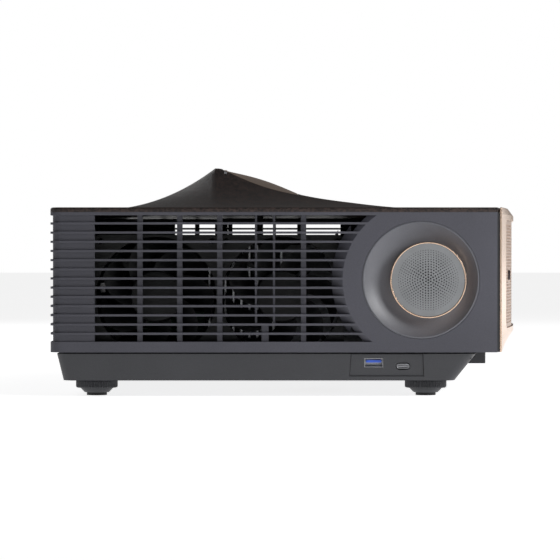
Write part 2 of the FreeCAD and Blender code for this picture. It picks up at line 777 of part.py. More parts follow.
def top_cover():
    """Cover plate with the hump, the well under the lid and the hinge trough."""
    edge_y = f"({FACE_END} + skin + 0.2)"
    radius = bow_radius(HALF, HIGH_BOW)
    plate = slab(
        "cover_plate", "xy", (PANEL_TOP, COVER_TOP),
        (
            (f"-{HALF}", edge_y, radius),
            (HALF, edge_y),
            (HALF, f"{REAR} - corner_radius", "corner_radius"),
            (f"{HALF} - corner_radius", REAR),
            (f"-{HALF} + corner_radius", REAR, "corner_radius"),
            (f"-{HALF}", f"{REAR} - corner_radius"),
        ),
    )
    outside = hump("hump", "0")
    inside = hump("hump_inside", "hump_wall")
    shell = join("cover_shell", [plate, carve("hump_shell", outside, [inside])])
    lid_space = lid_blank("lid_space", "moving_gap", "lid_thickness + moving_gap")
    well = slab(
        "well", "xy", (f"{COVER_TOP} + 1", f"{RIDGE_TOP} + 20"),
        (
            ("-lid_front_half + 5", f"{LID_FRONT_Y} + 4"),
            ("lid_front_half - 5", f"{LID_FRONT_Y} + 4"),
            ("lid_rear_half - 4", f"{HINGE_Y} - 7"),
            ("-lid_rear_half + 4", f"{HINGE_Y} - 7"),
        ),
    )
    trough_end = "(lid_rear_half + swing_gap + 0.7)"
    trough = rod(
        "hinge_trough", "x", "knuckle_radius + swing_gap", (f"-{trough_end}", trough_end),
        (HINGE_Y, HINGE_Z),
    )
    pin_hole = rod("pin_hole", "x", "pin_radius", (f"-{PIN_END}", PIN_END), (HINGE_Y, HINGE_Z))
    tools = [lid_space, well, trough, pin_hole]
    for index, x in enumerate(DIAL_XS):
        tools.append(
            rod(
                f"dial_hole_{index}", "z", "3.2", (f"{PANEL_TOP} - {REACH}", f"{COVER_TOP} + {REACH}"),
                (x, DIAL_Y),
            )
        )
    lip = box(
        "cover_lip", (f"-{HALF} + corner_return + 1", f"{HALF} - corner_return - 1"),
        (f"{REAR} - 9", f"{REAR} - 6.5"), (f"{PANEL_TOP} - 4", f"{PANEL_TOP} + 1"),
    )
    node("top_cover", carve("top_cover", join("cover_solids", [shell, lip]), tools))


DIAL_XS = ("-26", "26")
DIAL_Y = f"({RAMP_FOOT_Y} + 32)"


def lens_control_lid():
    """Gold lid with a full-width knuckle round its pin."""
    blank = lid_blank("lid", "0", "lid_thickness")
    knuckle = rod(
        "lid_knuckle", "x", "knuckle_radius", ("-lid_rear_half", "lid_rear_half"), (HINGE_Y, HINGE_Z),
    )
    bore = rod(
        "lid_bore", "x", "pin_radius + fit_gap", (f"-lid_rear_half - {REACH}", f"lid_rear_half + {REACH}"),
        (HINGE_Y, HINGE_Z),
    )
    node("lens_control_lid", carve("lens_control_lid", join("lid_solids", [blank, knuckle]), [bore]))
    node(
        "lid_hinge_pin",
        rod("lid_hinge_pin", "x", "pin_radius", (f"-{PIN_END}", PIN_END), (HINGE_Y, HINGE_Z)),
    )


# ------------------------------------------------------------------ the front


def front_levels(shape, low, high):
    """Outlines of a front piece at the levels where its bevels start and end."""
    low_bow = f"({LOW_BOW} + lower_bevel_run * ({low} - {FRONT_BOTTOM}) / ({BEVEL_LOW} - {FRONT_BOTTOM}))"
    high_bow = f"({HIGH_BOW} + upper_bevel * ({COVER_TOP} - {high}) / upper_bevel)"
    return (
        (low, shape(low_bow)),
        (BEVEL_LOW, shape("front_bow")),
        (BEVEL_HIGH, shape("front_bow")),
        (high, shape(high_bow)),
    )


def grille_band(margin, depth, thickness):
    """Plan outline of a strip behind the front arc, as wide as the grille opening less a margin."""
    half = f"({WINDOW_HALF} - {margin})"
    rise = f"({BOW_RADIUS} - sqrt({BOW_RADIUS} ^ 2 - {half} ^ 2))"
    return bowed_band(half, f"({FRONT} + {rise} + {depth})", rise, thickness)


def window_cut(name, margin, radius):
    """Round-cornered opening for the front grille, through the whole front."""
    half = f"({WINDOW_HALF} + {margin})"
    low = f"({WINDOW_LOW} - {margin})"
    high = f"({WINDOW_HIGH} + {margin})"
    return slab(
        name, "xz", (f"{FRONT} - {REACH}", f"{PANEL_FRONT} + 15"),
        rounded(f"-{half}", half, low, high, radius),
    )


def front():
    """Black carrier frame, gold trim, grille, lens collar and infrared window."""
    trim = lofted(
        "trim_skin",
        front_levels(lambda bow: bowed_band(HALF, FACE_END, bow, "skin"), FRONT_BOTTOM, COVER_TOP),
    )
    node("front_bezel", carve("front_bezel", trim, [window_cut("trim_window", "0", "6")]))

    half = f"({HALF} - 0.4)"
    carrier = lofted(
        "carrier",
        front_levels(
            lambda bow: bowed_block(half, PANEL_FRONT, f"{FACE_END} + skin", bow), FRONT_BOTTOM,
            f"{PANEL_TOP} - 0.2",
        ),
    )
    collar_hole = rod(
        "collar_seat", "y", "collar_radius", (f"{FRONT} - {REACH}", f"{PANEL_FRONT} + {REACH}"),
        ("0", "lens_height"),
    )
    eye_hole = box("eye_hole", EYE_X, (f"{FRONT} - {REACH}", f"{PANEL_FRONT} + {REACH}"), EYE_Z)
    seat = window_cut("carrier_window", "-5", "4")
    tabs = [
        box(
            f"tab_{name}", (f"{side} * 90 - 12", f"{side} * 90 + 12"),
            (f"{PANEL_FRONT} - 1", f"{PANEL_FRONT} + 20"), (FRONT_BOTTOM, f"{FRONT_BOTTOM} + 3"),
        )
        for name, side in SIDES
    ]
    pocket = slab(
        "grille_pocket", "xy", (WINDOW_LOW, WINDOW_HIGH),
        grille_band("0", -REACH, f"({REACH} + grille_back)"),
    )
    body = carve("front_frame_body", carrier, [seat, pocket, collar_hole, eye_hole])
    node("front_frame", join("front_frame", [body] + tabs))

    edge = "0.2"
    sheet_blank = slab(
        "grille_sheet", "xy", (f"{WINDOW_LOW} + {edge}", f"{WINDOW_HIGH} - {edge}"),
        grille_band(edge, "grille_back - grille_thickness", "grille_thickness"),
    )
    holes = [
        rod(
            "grille_lens_hole", "y", f"collar_radius + {edge}", (f"{FRONT} - {REACH}", PANEL_FRONT),
            ("0", "lens_height"),
        ),
        box(
            "grille_eye_hole", (f"{EYE_X[0]} - {edge}", f"{EYE_X[1]} + {edge}"),
            (f"{FRONT} - {REACH}", PANEL_FRONT), (f"{EYE_Z[0]} - {edge}", f"{EYE_Z[1]} + {edge}"),
        ),
    ]
    node("front_grille", carve("front_grille", sheet_blank, holes))

    window_y = f"({FACE_END} - front_bow * (1 - ((body_width / 2 - window_inset) / (body_width / 2)) ^ 2))"
    node("front_ir_window", box("front_ir_window", EYE_X, (f"{window_y} + 1", f"{window_y} + 7"), EYE_Z))
    collar = (
        ("collar_radius - collar_wall", "7"),
        ("collar_radius - 1", "1.2"),
        ("collar_radius", "1.2"),
        ("collar_radius", "24"),
        ("collar_radius - collar_wall", "24"),
    )
    node("lens_collar", turned("lens_collar", collar, "y", 0, FRONT, "lens_height"))


def chin(pan_outside):
    """Black bar under the front, seated on the sloping nose of the pan."""
    ends = f"({FACE_END} + chin_setback)"
    bar = slab(
        "chin_bar", "xy", (f"{PAN_TOP} - chin_height + 0.8", f"{PAN_TOP} + 0.8"),
        bowed_block("chin_half", f"{PAN_NOSE} + 12", ends, "chin_bow"),
    )
    node("front_chin", carve("front_chin", bar, [pan_outside]))


def port_plate():
    """Plate in the right wall of the pan, with its two sockets."""
    lean = "pan_slope / pan_height"
    low, high = f"({PAN_FLOOR} + 0.4)", f"({PAN_FLOOR} + 0.4 + port_plate_height)"
    outer = f"(-{HALF} + pan_inset + pan_slope + 0.8)"
    low_x = f"({outer} - {lean} * ({low} - ground_clearance))"
    high_x = f"({outer} - {lean} * ({high} - ground_clearance))"
    middle = f"({FRONT} + port_plate_setback + 10)"
    leaning = slab(
        "plate_leaning", "xz", (f"{middle} - port_plate_width", f"{middle} + port_plate_width"),
        ((low_x, low), (f"{low_x} + 2", low), (f"{high_x} + 2", high), (high_x, high)),
    )
    outline = slab("plate_outline", "yz", (f"-{HALF}", f"-{HALF} + 20"), port_plate_outline("0"))
    usb_a = f"({middle} + 9.5)"
    usb_c = f"({middle} - 11.9)"
    reach = (f"-{HALF} - 1", f"-{HALF} + 30")
    openings = [
        box("usb_a_opening", reach, (f"{usb_a} - 7", f"{usb_a} + 7"), ("21.55", "28.45")),
        slab(
            "usb_c_opening", "yz", reach,
            rounded(f"({usb_c} - 5.25)", f"({usb_c} + 5.25)", "20", "25.2", "2.55"),
        ),
    ]
    node("right_port_plate", carve("right_port_plate", overlap("plate_blank", leaning, outline), openings))
    face = (f"-{HALF} + 6.2", f"-{HALF} + 22")
    shell = box("usb_a_shell", face, (f"{usb_a} - 6.9", f"{usb_a} + 6.9"), ("21.7", "28.3"))
    inside = box(
        "usb_a_inside", (f"{face[0]} - 1", f"{face[1]} - 1.5"), (f"{usb_a} - 6.4", f"{usb_a} + 6.4"),
        ("22.2", "27.8"),
    )
    node("usb_a_socket", carve("usb_a_socket", shell, [inside]))
    node(
        "usb_a_tongue",
        box(
            "usb_a_tongue", (f"{face[0]} + 0.6", f"{face[1]} - 1.5"),
            (f"{usb_a} - 5.55", f"{usb_a} + 5.55"), ("25.2", "27.1"),
        ),
    )
    outer_c = slab(
        "usb_c_shell", "yz", (face[0], f"{face[0]} + 9"),
        rounded(f"({usb_c} - 4.6)", f"({usb_c} + 4.6)", "20.9", "24.3", "1.65"),
    )
    inner_c = slab(
        "usb_c_inside", "yz", (f"{face[0]} - 1", f"{face[0]} + 8"),
        rounded(f"({usb_c} - 4.2)", f"({usb_c} + 4.2)", "21.3", "23.9", "1.25"),
    )
    tongue_c = box(
        "usb_c_tongue", (f"{face[0]} + 0.8", f"{face[0]} + 8.5"), (f"{usb_c} - 3.2", f"{usb_c} + 3.2"),
        ("22.25", "22.95"),
    )
    node("usb_c_socket", join("usb_c_socket", [carve("usb_c_case", outer_c, [inner_c]), tongue_c]))


# --------------------------------------------------------------- the speakers


def speaker(name, side):
    """Concave dish with a gold ring, a perforated disc, a basket and its cone."""
    axis = "x" if side < 0 else "-x"
    face = side_x(side, "0")
    rim = "(dish_radius - 0.15)"
    floor_depth = "8"
    dish = turned(
        f"{name}_dish_blank",
        (
            (f"{rim} - 1.1", "0.1"),
            (rim, "0.1"),
            (rim, "panel_wall + 0.1"),
            ("dish_radius + 4", "panel_wall + 0.1"),
            ("dish_radius + 4", "panel_wall + 2.6"),
            ("dish_radius", f"{floor_depth} + 2.5"),
            ("18", f"{floor_depth} + 2.5"),
            ("18", floor_depth),
            ("driver_radius + driver_offset", floor_depth, "-26"),
        ),
        axis, face, DISH_Y, DISH_Z,
    )
    seat = rod(f"{name}_seat", "x", "driver_radius - 1.5", across(side, "0", "20"), (DRIVER_Y, DISH_Z))
    node(f"{name}_dish", carve(f"{name}_dish", dish, [seat]))
    bore = "(driver_radius - ring_wall)"
    tube = rod(f"{name}_tube", "x", "driver_radius", across(side, "0", floor_depth), (DRIVER_Y, DISH_Z))
    hollow = rod(f"{name}_hollow", "x", bore, across(side, "-1", f"{floor_depth} + 1"), (DRIVER_Y, DISH_Z))
    node(f"{name}_ring", carve(f"{name}_ring", tube, [hollow]))
    node(f"{name}_grille", perforated_disc(f"{name}_grille", side))
    basket = (
        ("driver_radius - 3.6", "2.6"),
        ("driver_radius - 1.6", "2.6"),
        ("driver_radius - 1.6", "16"),
        ("17", "28"),
        ("17", "40"),
        ("0", "40"),
        ("0", "27"),
        ("15", "27"),
        ("driver_radius - 3.6", "15"),
    )
    node(f"{name}_basket", turned(f"{name}_basket", basket, axis, face, DRIVER_Y, DISH_Z))
    cone = (
        ("0", "8"),
        ("8", "9.6"),
        ("driver_radius - 6", "5"),
        ("driver_radius - 4.1", "5"),
        ("driver_radius - 4.1", "6.2"),
        ("8", "17"),
        ("0", "17"),
    )
    node(f"{name}_cone", turned(f"{name}_cone", cone, axis, face, DRIVER_Y, DISH_Z))


def perforated_disc(name, side):
    """Thin disc with one hole in the middle and rings of six more holes each time."""
    radius = value("driver_radius - ring_wall - 0.05")
    circles = [Part.Wire(Part.makeCircle(radius)), Part.Wire(Part.makeCircle(value("hole_radius")))]
    for ring in range(1, int(value("hole_rings")) + 1):
        for hole in range(6 * ring):
            turn = math.pi / 2 + 2 * math.pi * hole / (6 * ring)
            reach = ring * value("hole_pitch")
            spot = FreeCAD.Vector(reach * math.cos(turn), reach * math.sin(turn), 0)
            circles.append(Part.Wire(Part.makeCircle(value("hole_radius"), spot)))
    disc = doc.addObject("Part::Feature", name)
    flat = Part.makeFace(circles, "Part::FaceMakerBullseye")
    disc.Shape = flat.extrude(FreeCAD.Vector(0, 0, value("grille_thickness")))
    turn = TURNS["x" if side < 0 else "-x"]
    spot = FreeCAD.Vector(value(side_x(side, "0.4")), value(DRIVER_Y), value(DISH_Z))
    disc.Placement = FreeCAD.Placement(spot, turn)
    return disc


# ------------------------------------------------------------------- the feet


def feet():
    """Four screw feet: a knurled disc on a stud, a rubber pad and an insert in the pan."""
    inserts = []
    for name, x, y in foot_places():
        screw = (
            ("3.4", "2.1"),
            ("foot_radius - 6.5", "2.1"),
            ("foot_radius - 3.6", "5"),
            ("foot_radius - 3.6", "5.6"),
            ("foot_radius", "5.6"),
            ("foot_radius", "ground_clearance - 0.7"),
            ("stud_radius", "ground_clearance - 0.7"),
            ("stud_radius", "ground_clearance - 0.7 + stud_length"),
            ("0", "ground_clearance - 0.7 + stud_length"),
            ("0", "5.6"),
            ("3.4", "5.6"),
        )
        node(f"foot_screw_{name}", turned(f"foot_screw_{name}", screw, "z", x, y, 0))
        pad = (
            ("0", "0"), ("foot_pad_radius", "0"), ("foot_pad_radius", "1.9"), ("3", "1.9"), ("3", "5.2"),
            ("0", "5.2"),
        )
        node(f"foot_pad_{name}", turned(f"foot_pad_{name}", pad, "z", x, y, 0))
        outer = rod(
            f"insert_{name}_outer", "z", "stud_radius + 3.1", ("ground_clearance", f"{PAN_FLOOR} + 9"),
            (x, y),
        )
        bore = rod(
            f"insert_{name}_bore", "z", "stud_radius + fit_gap",
            ("ground_clearance - 1", f"{PAN_FLOOR} + 10"), (x, y),
        )
        inserts.append(carve(f"insert_{name}", outer, [bore]))
    node("foot_inserts", group("foot_inserts", inserts))


# ----------------------------------------------------------------- the optics


ENGINE_Z = "27"
BASE_Y = f"({FRONT} + 69.4)"
ENGINE_Y = f"({BASE_Y} + 5)"


def plate_with_hole(name, half, y, hole):
    """Square plate on the lens axis with a round hole."""
    plate = box(
        f"{name}_plate", (f"-({half})", half), y, (f"lens_height - ({half})", f"lens_height + ({half})"),
    )
    opening = rod(f"{name}_opening", "y", hole, (f"{y[0]} - 1", f"{y[1]} + 1"), ("0", "lens_height"))
    return carve(name, plate, [opening])


def optics():
    """Light engine, lens shift stage, barrel with its two rings, and the front glass."""
    top = f"({ENGINE_Z} + engine_height)"
    case = box(
        "engine_case", ("-engine_half", "engine_half"), (ENGINE_Y, f"{ENGINE_Y} + engine_length"),
        (ENGINE_Z, top),
    )
    step = box(
        "engine_step", ("-engine_half - 1", "-engine_half + 30"), (f"{ENGINE_Y} - 1", f"{ENGINE_Y} + 50"),
        (f"{top} - 22", f"{top} + 1"),
    )
    light_hole = rod(
        "engine_light_hole", "y", "barrel_radius - 4", (f"{ENGINE_Y} - 1", f"{ENGINE_Y} + 30"),
        ("0", "lens_height"),
    )
    node("light_engine", carve("light_engine", case, [step, light_hole]))
    node(
        "lens_shift_base",
        plate_with_hole("lens_shift_base", "44", (BASE_Y, ENGINE_Y), "barrel_radius + shift_travel + 2"),
    )
    slide = (f"{BASE_Y} - 5.3", f"{BASE_Y} - 0.3")
    node("lens_shift_slide", plate_with_hole("lens_shift_slide", "36", slide, "barrel_radius"))
    length = f"({slide[0]} - 0.3 - {FRONT})"
    barrel = (
        ("barrel_radius - barrel_wall", "8"),
        ("barrel_radius", "8"),
        ("barrel_radius", "27"),
        ("barrel_radius + 1.5", "27"),
        ("barrel_radius + 1.5", "29"),
        ("barrel_radius", "29"),
        ("barrel_radius", f"{length} - 6"),
        ("barrel_radius + 5", f"{length} - 6"),
        ("barrel_radius + 5", length),
        ("barrel_radius - barrel_wall", length),
    )
    node("lens_barrel", turned("lens_barrel", barrel, "y", 0, FRONT, "lens_height"))
    for name, start, end in (("focus_ring", 12, 26.4), ("zoom_ring", 29.6, 44)):
        ring = (
            ("barrel_radius + fit_gap", start),
            ("barrel_radius + ring_thickness", start),
            ("barrel_radius + ring_thickness", end),
            ("barrel_radius + fit_gap", end),
        )
        node(name, turned(name, ring, "y", 0, FRONT, "lens_height"))
    bore = "(barrel_radius - barrel_wall)"
    glass = (("0", "9.5", "-60"), (bore, "13.6"), (bore, "18"), ("0", "18"))
    node("front_lens", turned("front_lens", glass, "y", 0, FRONT, "lens_height"))
    for name, x in (("shift_dial_x", DIAL_XS[0]), ("shift_dial_z", DIAL_XS[1])):
        low = f"({COVER_TOP} + 0.5)"
        dial = (
            ("0", f"{top} + 0.4"), ("2.6", f"{top} + 0.4"), ("2.6", low), ("11", low), ("11", f"{low} + 8"),
            ("0", f"{low} + 8"),
        )
        node(name, turned(name, dial, "z", x, DIAL_Y, 0))
    sink_x = ("-engine_half - 92", "-engine_half - 3")
    sink_y = (f"{REAR} - 170", f"{REAR} - 112.6")
    parts = [box("sink_base", sink_x, sink_y, (ENGINE_Z, f"{ENGINE_Z} + 6"))]
    for fin in range(10):
        y = f"({sink_y[0]} + {fin} * 6)"
        parts.append(
            box(f"sink_fin_{fin}", sink_x, (y, f"{y} + 1.4"), (f"{ENGINE_Z} + 5", f"{ENGINE_Z} + 84"))
        )
    for bar, z in enumerate(("45", "70", "95")):
        parts.append(rod(f"heat_pipe_{bar}", "y", "3", sink_y, ("-engine_half - 20", z)))
    legs = [
        box(f"sink_leg_{leg}", (sink_x[0], f"{sink_x[0]} + 8"), (y, f"{y} + 8"), (PAN_FLOOR, ENGINE_Z))
        for leg, y in enumerate((sink_y[0], f"{sink_y[1]} - 8"))
    ]
    node("led_heatsink", join("led_heatsink", parts + legs))


# ---------------------------------------------------------------- the cooling


BLADES = 7


def fan_places():
    """Fans: name, side and y."""
    rear = f"({REAR} - fan_rear)"
    yield "right_rear", -1, rear
    yield "right_front", -1, f"({rear} - fan_pitch)"
    yield "left", 1, f"({rear} - fan_pitch / 2)"


def fan(name, side, y):
    """Square frame with struts and a motor seat, and a rotor with seven blades."""
    axis = "x" if side < 0 else "-x"
    face = side_x(side, "fan_inset")
    half = "(fan_size / 2)"
    frame = slab(
        f"{name}_frame_block", "xy", ("0", "fan_depth"), rounded(f"-{half}", half, f"-{half}", half, "4"),
    )
    outlet = rod(f"{name}_outlet", "z", "fan_size / 2 - 1.5", ("-1", "fan_depth + 1"), ("0", "0"))
    struts = [rod(f"{name}_seat", "z", "hub_radius", ("fan_depth - 3", "fan_depth"), ("0", "0"))]
    for number, turn in enumerate((45, 135)):
        bar = box(
            f"{name}_strut_{number}", ("-fan_size / 2 + 1", "fan_size / 2 - 1"), ("-1.8", "1.8"),
            ("fan_depth - 3", "fan_depth"),
        )
        struts.append(turn_about(bar, turn))
    screws = []
    for number in range(4):
        reach = "(fan_size / 2 - 4.75)"
        x, z = (("-", "-"), ("-", ""), ("", "-"), ("", ""))[number]
        screws.append(
            rod(
                f"{name}_screw_{number}", "z", "2.2", ("-1", "fan_depth + 1"),
                (f"{x}{reach}", f"{z}{reach}"),
            )
        )
    ring = carve(f"{name}_ring", frame, [outlet] + screws)
    body = join(f"{name}_frame_solids", [ring] + struts)
    frame_node = doc.addObject("Part::Compound", f"fan_frame_{name}")
    frame_node.Links = [body]
    frame_node.Placement = FreeCAD.Placement(FreeCAD.Vector(), TURNS[axis])
    node(f"fan_frame_{name}", place(frame_node, face, y, "fan_level"))

    rotor = doc.addObject("PartDesign::Body", f"fan_rotor_{name}")
    hub_sketch = sketch(
        rotor, f"{name}_hub_sketch", "xz", 0,
        (
            ("0", "1.5"), ("hub_radius - 2", "1.5"), ("hub_radius", "3.5"), ("hub_radius", "fan_depth - 4"),
            ("0", "fan_depth - 4"),
        ),
    )
    hub = rotor.newObject("PartDesign::Revolution", f"{name}_hub")
    hub.Profile = hub_sketch
    hub.ReferenceAxis = (hub_sketch, ["V_Axis"])
    hub.Angle = 360
    blade_sketch = sketch(
        rotor, f"{name}_blade_sketch", "yz", "hub_radius - 1",
        (("-11", "4"), ("-9.6", "3.2"), ("11", "fan_depth - 6"), ("9.6", "fan_depth - 5")),
    )
    blade = rotor.newObject("PartDesign::Pad", f"{name}_blade")
    blade.Profile = blade_sketch
    tie(blade, Length="fan_size / 2 - 3.5 - hub_radius + 1 - 1.5")
    blades = rotor.newObject("PartDesign::PolarPattern", f"{name}_blades")
    blades.Originals = [blade]
    blades.Axis = (hub_sketch, ["V_Axis"])
    blades.Angle = 360
    blades.Occurrences = BLADES
    rotor.Tip = blades
    rotor.Placement = FreeCAD.Placement(FreeCAD.Vector(), TURNS[axis])
    node(f"fan_rotor_{name}", place(rotor, face, y, "fan_level"))


def turn_about(bar, angle):
    """A bar across the origin, turned about Z."""
    holder = doc.addObject("Part::Compound", f"{bar.Name}_turned")
    holder.Links = [bar]
    holder.Placement = FreeCAD.Placement(FreeCAD.Vector(), FreeCAD.Rotation(FreeCAD.Vector(0, 0, 1), angle))
    return holder


# ------------------------------------------------------------ the electronics


def electronics():
    """Boards, rear connectors and the mains inlet."""
    board_z = ("46", "46 + board_thickness")
    board_y = (f"{REAR} - 110", f"{REAR} - bay_depth - 3")
    parts = [box("main_pcb", ("-100", "108"), board_y, board_z)]
    for index, (x, y, width, depth, height) in enumerate(
        (
            (-40, 90, 38, 38, 12), (20, 80, 30, 30, 3), (60, 95, 16, 24, 2.5), (-75, 70, 14, 14, 10),
            (85, 60, 12, 12, 14),
        )
    ):
        parts.append(
            box(
                f"chip_{index}", (f"{x} - {width} / 2", f"{x} + {width} / 2"),
                (f"{REAR} - {y} - {depth} / 2", f"{REAR} - {y} + {depth} / 2"),
                (f"{board_z[1]} - 0.2", f"{board_z[1]} + {height}"),
            )
        )
    node("main_board", join("main_board", parts))
    supply_z = ("30", "30 + board_thickness")
    supply = [box("supply_pcb", ("66", "148"), ("-90", "50"), supply_z)]
    for index, (x, y, width, depth, height) in enumerate(
        ((92, 10, 40, 36, 34), (126, -40, 34, 30, 28), (84, -60, 22, 22, 36), (130, 25, 20, 20, 40))
    ):
        supply.append(
            box(
                f"supply_part_{index}", (f"{x} - {width} / 2", f"{x} + {width} / 2"),
                (f"{y} - {depth} / 2", f"{y} + {depth} / 2"), ("31", f"31 + {height}"),
            )
        )
    node("power_supply_board", join("power_supply_board", supply))

    jacks = []
    back = f"({REAR} - bay_depth)"
    for index, (x, width, height, hole, hole_height) in enumerate(sockets()):
        shell = box(
            f"jack_{index}_shell", (f"{x} - {width} / 2", f"{x} + {width} / 2"),
            (f"{back} - 16", f"{back} + 1.5"), (SOCKET_LOW, f"{SOCKET_LOW} + {height}"),
        )
        middle = f"({SOCKET_LOW} + {height} / 2)"
        if hole == hole_height:
            opening = rod(f"jack_{index}_hole", "y", hole / 2, (f"{back} - 12", f"{back} + 3"), (x, middle))
        else:
            opening = box(
                f"jack_{index}_hole", (f"{x} - {hole} / 2", f"{x} + {hole} / 2"),
                (f"{back} - 12", f"{back} + 3"),
                (f"{middle} - {hole_height} / 2", f"{middle} + {hole_height} / 2"),
            )
        jacks.append(carve(f"jack_{index}", shell, [opening]))
    node("io_sockets", group("io_sockets", jacks))

    shell = box("inlet_shell", INLET_X, (f"{back} - 20", f"{back} + 2.5"), INLET_Z)
    cavity = box(
        "inlet_cavity", ("115", "139"), (f"{back} - 14", f"{back} + 4"),
        (f"{INLET_Z[0]} + 3.5", f"{INLET_Z[1]} - 3.5"),
    )
    pins = [
        box(
            f"inlet_pin_{index}", (f"127 + {x} - 1", f"127 + {x} + 1"), (f"{back} - 15", f"{back}"),
            (f"{INLET_Z[0]} + {z}", f"{INLET_Z[0]} + {z} + 4"),
        )
        for index, (x, z) in enumerate(((-7, 7.5), (0, 12), (7, 7.5)))
    ]
    node("ac_inlet", join("ac_inlet", [carve("inlet_body", shell, [cavity])] + pins))


def keys():
    """Three keys on the rear panel, each with a flange behind the panel."""
    for name, x in zip(("power_button", "source_key", "menu_key"), KEY_XS):
        cap = (
            ("0", "0.3"),
            ("key_radius - 0.6", "0.3"),
            ("key_radius", "0.9"),
            ("key_radius", "4.3"),
            ("key_radius + 1.4", "4.3"),
            ("key_radius + 1.4", "5.8"),
            ("0", "5.8"),
        )
        shape = tuple((radius, f"-({depth})") for radius, depth in cap)
        node(name, turned(name, shape, "y", x, REAR, KEY_Z))


def case_screws():
    """Eight countersunk screws in the underside of the pan."""
    screws = []
    for side in (-1, 1):
        for x, y in ((150, -60), (150, 100), (60, -108), (60, 150)):
            spot = (f"{side * x}", f"{y}")
            name = f"case_screw_{len(screws)}"
            head = taper(
                f"{name}_head", "z", ("3.2", "1.5"), ("ground_clearance", "ground_clearance + 1.8"), spot,
            )
            shank = rod(
                f"{name}_shank", "z", "1.5", ("ground_clearance + 1.5", "ground_clearance + 2.9"), spot,
            )
            screws.append(join(name, [head, shank]))
    return screws


def check_and_write():
    """Stop on any failed object or solid, then write one file for each piece."""
    doc.recompute()
    for thing in doc.Objects:
        faults = {"Invalid", "Error"} & set(thing.State)
        if faults:
            raise RuntimeError(f"{thing.Label}: {faults}")
    os.makedirs("parts", exist_ok=True)
    for piece in nodes:
        shape = piece.Shape
        if shape.isNull() or not shape.isValid() or not shape.Solids:
            raise RuntimeError(f"{piece.Label}: its solid is not sound")
        shape.exportStep(f"parts/{piece.Label}.step")
        print(f"{piece.Label}: {len(shape.Solids)} solid(s), {shape.Volume / 1000:.1f} cm3")


def main():
    """Build the case from the pan upwards, then what it holds."""
    pan_outside = bottom_pan()
    rows = vent_rows()
    for name, side in SIDES:
        side_panel(f"{name}_side_panel", side, rows)
        speaker(f"{name}_speaker", side)
    rear_panel(rows)
    top_cover()
    lens_control_lid()
    front()
    chin(pan_outside)
    port_plate()
    feet()
    optics()
    for name, side, y in fan_places():
        fan(name, side, y)
    electronics()
    keys()
    check_and_write()


main()
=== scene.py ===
"""Looks of a home projector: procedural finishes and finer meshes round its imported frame."""

import logging
import math
from collections.abc import Callable, Iterable, Sequence
from dataclasses import dataclass, field
from enum import Enum
from functools import cache

import bmesh
import bpy
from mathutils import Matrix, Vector
from mathutils.geometry import delaunay_2d_cdt


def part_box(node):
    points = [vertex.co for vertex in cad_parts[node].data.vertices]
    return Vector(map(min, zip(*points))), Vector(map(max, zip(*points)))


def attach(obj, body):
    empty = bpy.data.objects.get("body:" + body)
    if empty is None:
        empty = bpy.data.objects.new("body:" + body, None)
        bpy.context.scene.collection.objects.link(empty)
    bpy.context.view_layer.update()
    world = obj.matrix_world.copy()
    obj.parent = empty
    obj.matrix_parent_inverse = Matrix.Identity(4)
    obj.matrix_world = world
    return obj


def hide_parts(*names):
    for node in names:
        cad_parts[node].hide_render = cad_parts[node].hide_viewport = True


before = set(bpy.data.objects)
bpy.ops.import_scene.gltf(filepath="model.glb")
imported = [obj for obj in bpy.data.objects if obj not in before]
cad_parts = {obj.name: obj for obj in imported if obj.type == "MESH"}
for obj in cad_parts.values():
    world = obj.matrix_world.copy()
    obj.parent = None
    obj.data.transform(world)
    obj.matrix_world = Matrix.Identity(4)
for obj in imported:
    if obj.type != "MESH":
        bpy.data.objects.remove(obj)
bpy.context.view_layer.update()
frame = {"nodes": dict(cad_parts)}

LOG = logging.getLogger("projector")
MM = 0.001
Point = tuple[float, float, float]
Flat = tuple[float, float]
Cell = tuple[str, float]  # zone of a grid line of the cover, and how far along it runs
SHARP = 30.0  # degrees above which an edge stays sharp
NOISE_ENDS = (0.34, 0.66)  # the noise of a finish seldom leaves this range
EVEN = 0.5  # patches and grain count alike
RIB_STEPS = 4  # steps from one rib of a knurl to the next, half of them cut


class Side(Enum):
    """The two long sides of the projector, by the sign of their X."""

    RIGHT = -1
    LEFT = 1


class Way(Enum):
    """Axis that a turned piece spins round, with the axes of its radius."""

    ALONG_X = (1, 2, 0)
    ALONG_Y = (0, 2, 1)
    ALONG_Z = (0, 1, 2)


# ------------------------------------------------------------------ finishes


def linear(code: str) -> tuple[float, float, float, float]:
    """Turn an sRGB hex colour into Blender's linear one.

    Args:
        code: Six hex digits after a hash.

    Returns:
        Linear red, green and blue, with an alpha of one.
    """
    parts = [int(code[start : start + 2], 16) / 255 for start in (1, 3, 5)]
    knee, slope, shift, power = 0.04045, 12.92, 0.055, 2.4
    red, green, blue = (p / slope if p <= knee else ((p + shift) / (1 + shift)) ** power for p in parts)
    return red, green, blue, 1.0


def per_metre(size_mm: float) -> float:
    """Texture scale that gives a feature of some size in millimetres."""
    return 1 / (size_mm * MM)


def add_node(
    tree: bpy.types.NodeTree, kind: str, settings: dict | None = None, **sockets: object,
) -> bpy.types.Node:
    """Add a node with its settings and links.

    Args:
        tree: Node tree of a material or a world.
        kind: Blender's name for the node.
        settings: Properties of the node itself.
        **sockets: Input sockets by name, with _ for a space: a value, or an output socket to link.

    Returns:
        The new node.
    """
    node = tree.nodes.new(kind)
    for name, setting in (settings or {}).items():
        setattr(node, name, setting)
    for name, value in sockets.items():
        socket = node.inputs[name.replace("_", " ")]
        if isinstance(value, bpy.types.NodeSocket):
            tree.links.new(value, socket)
        else:
            socket.default_value = value
    return node


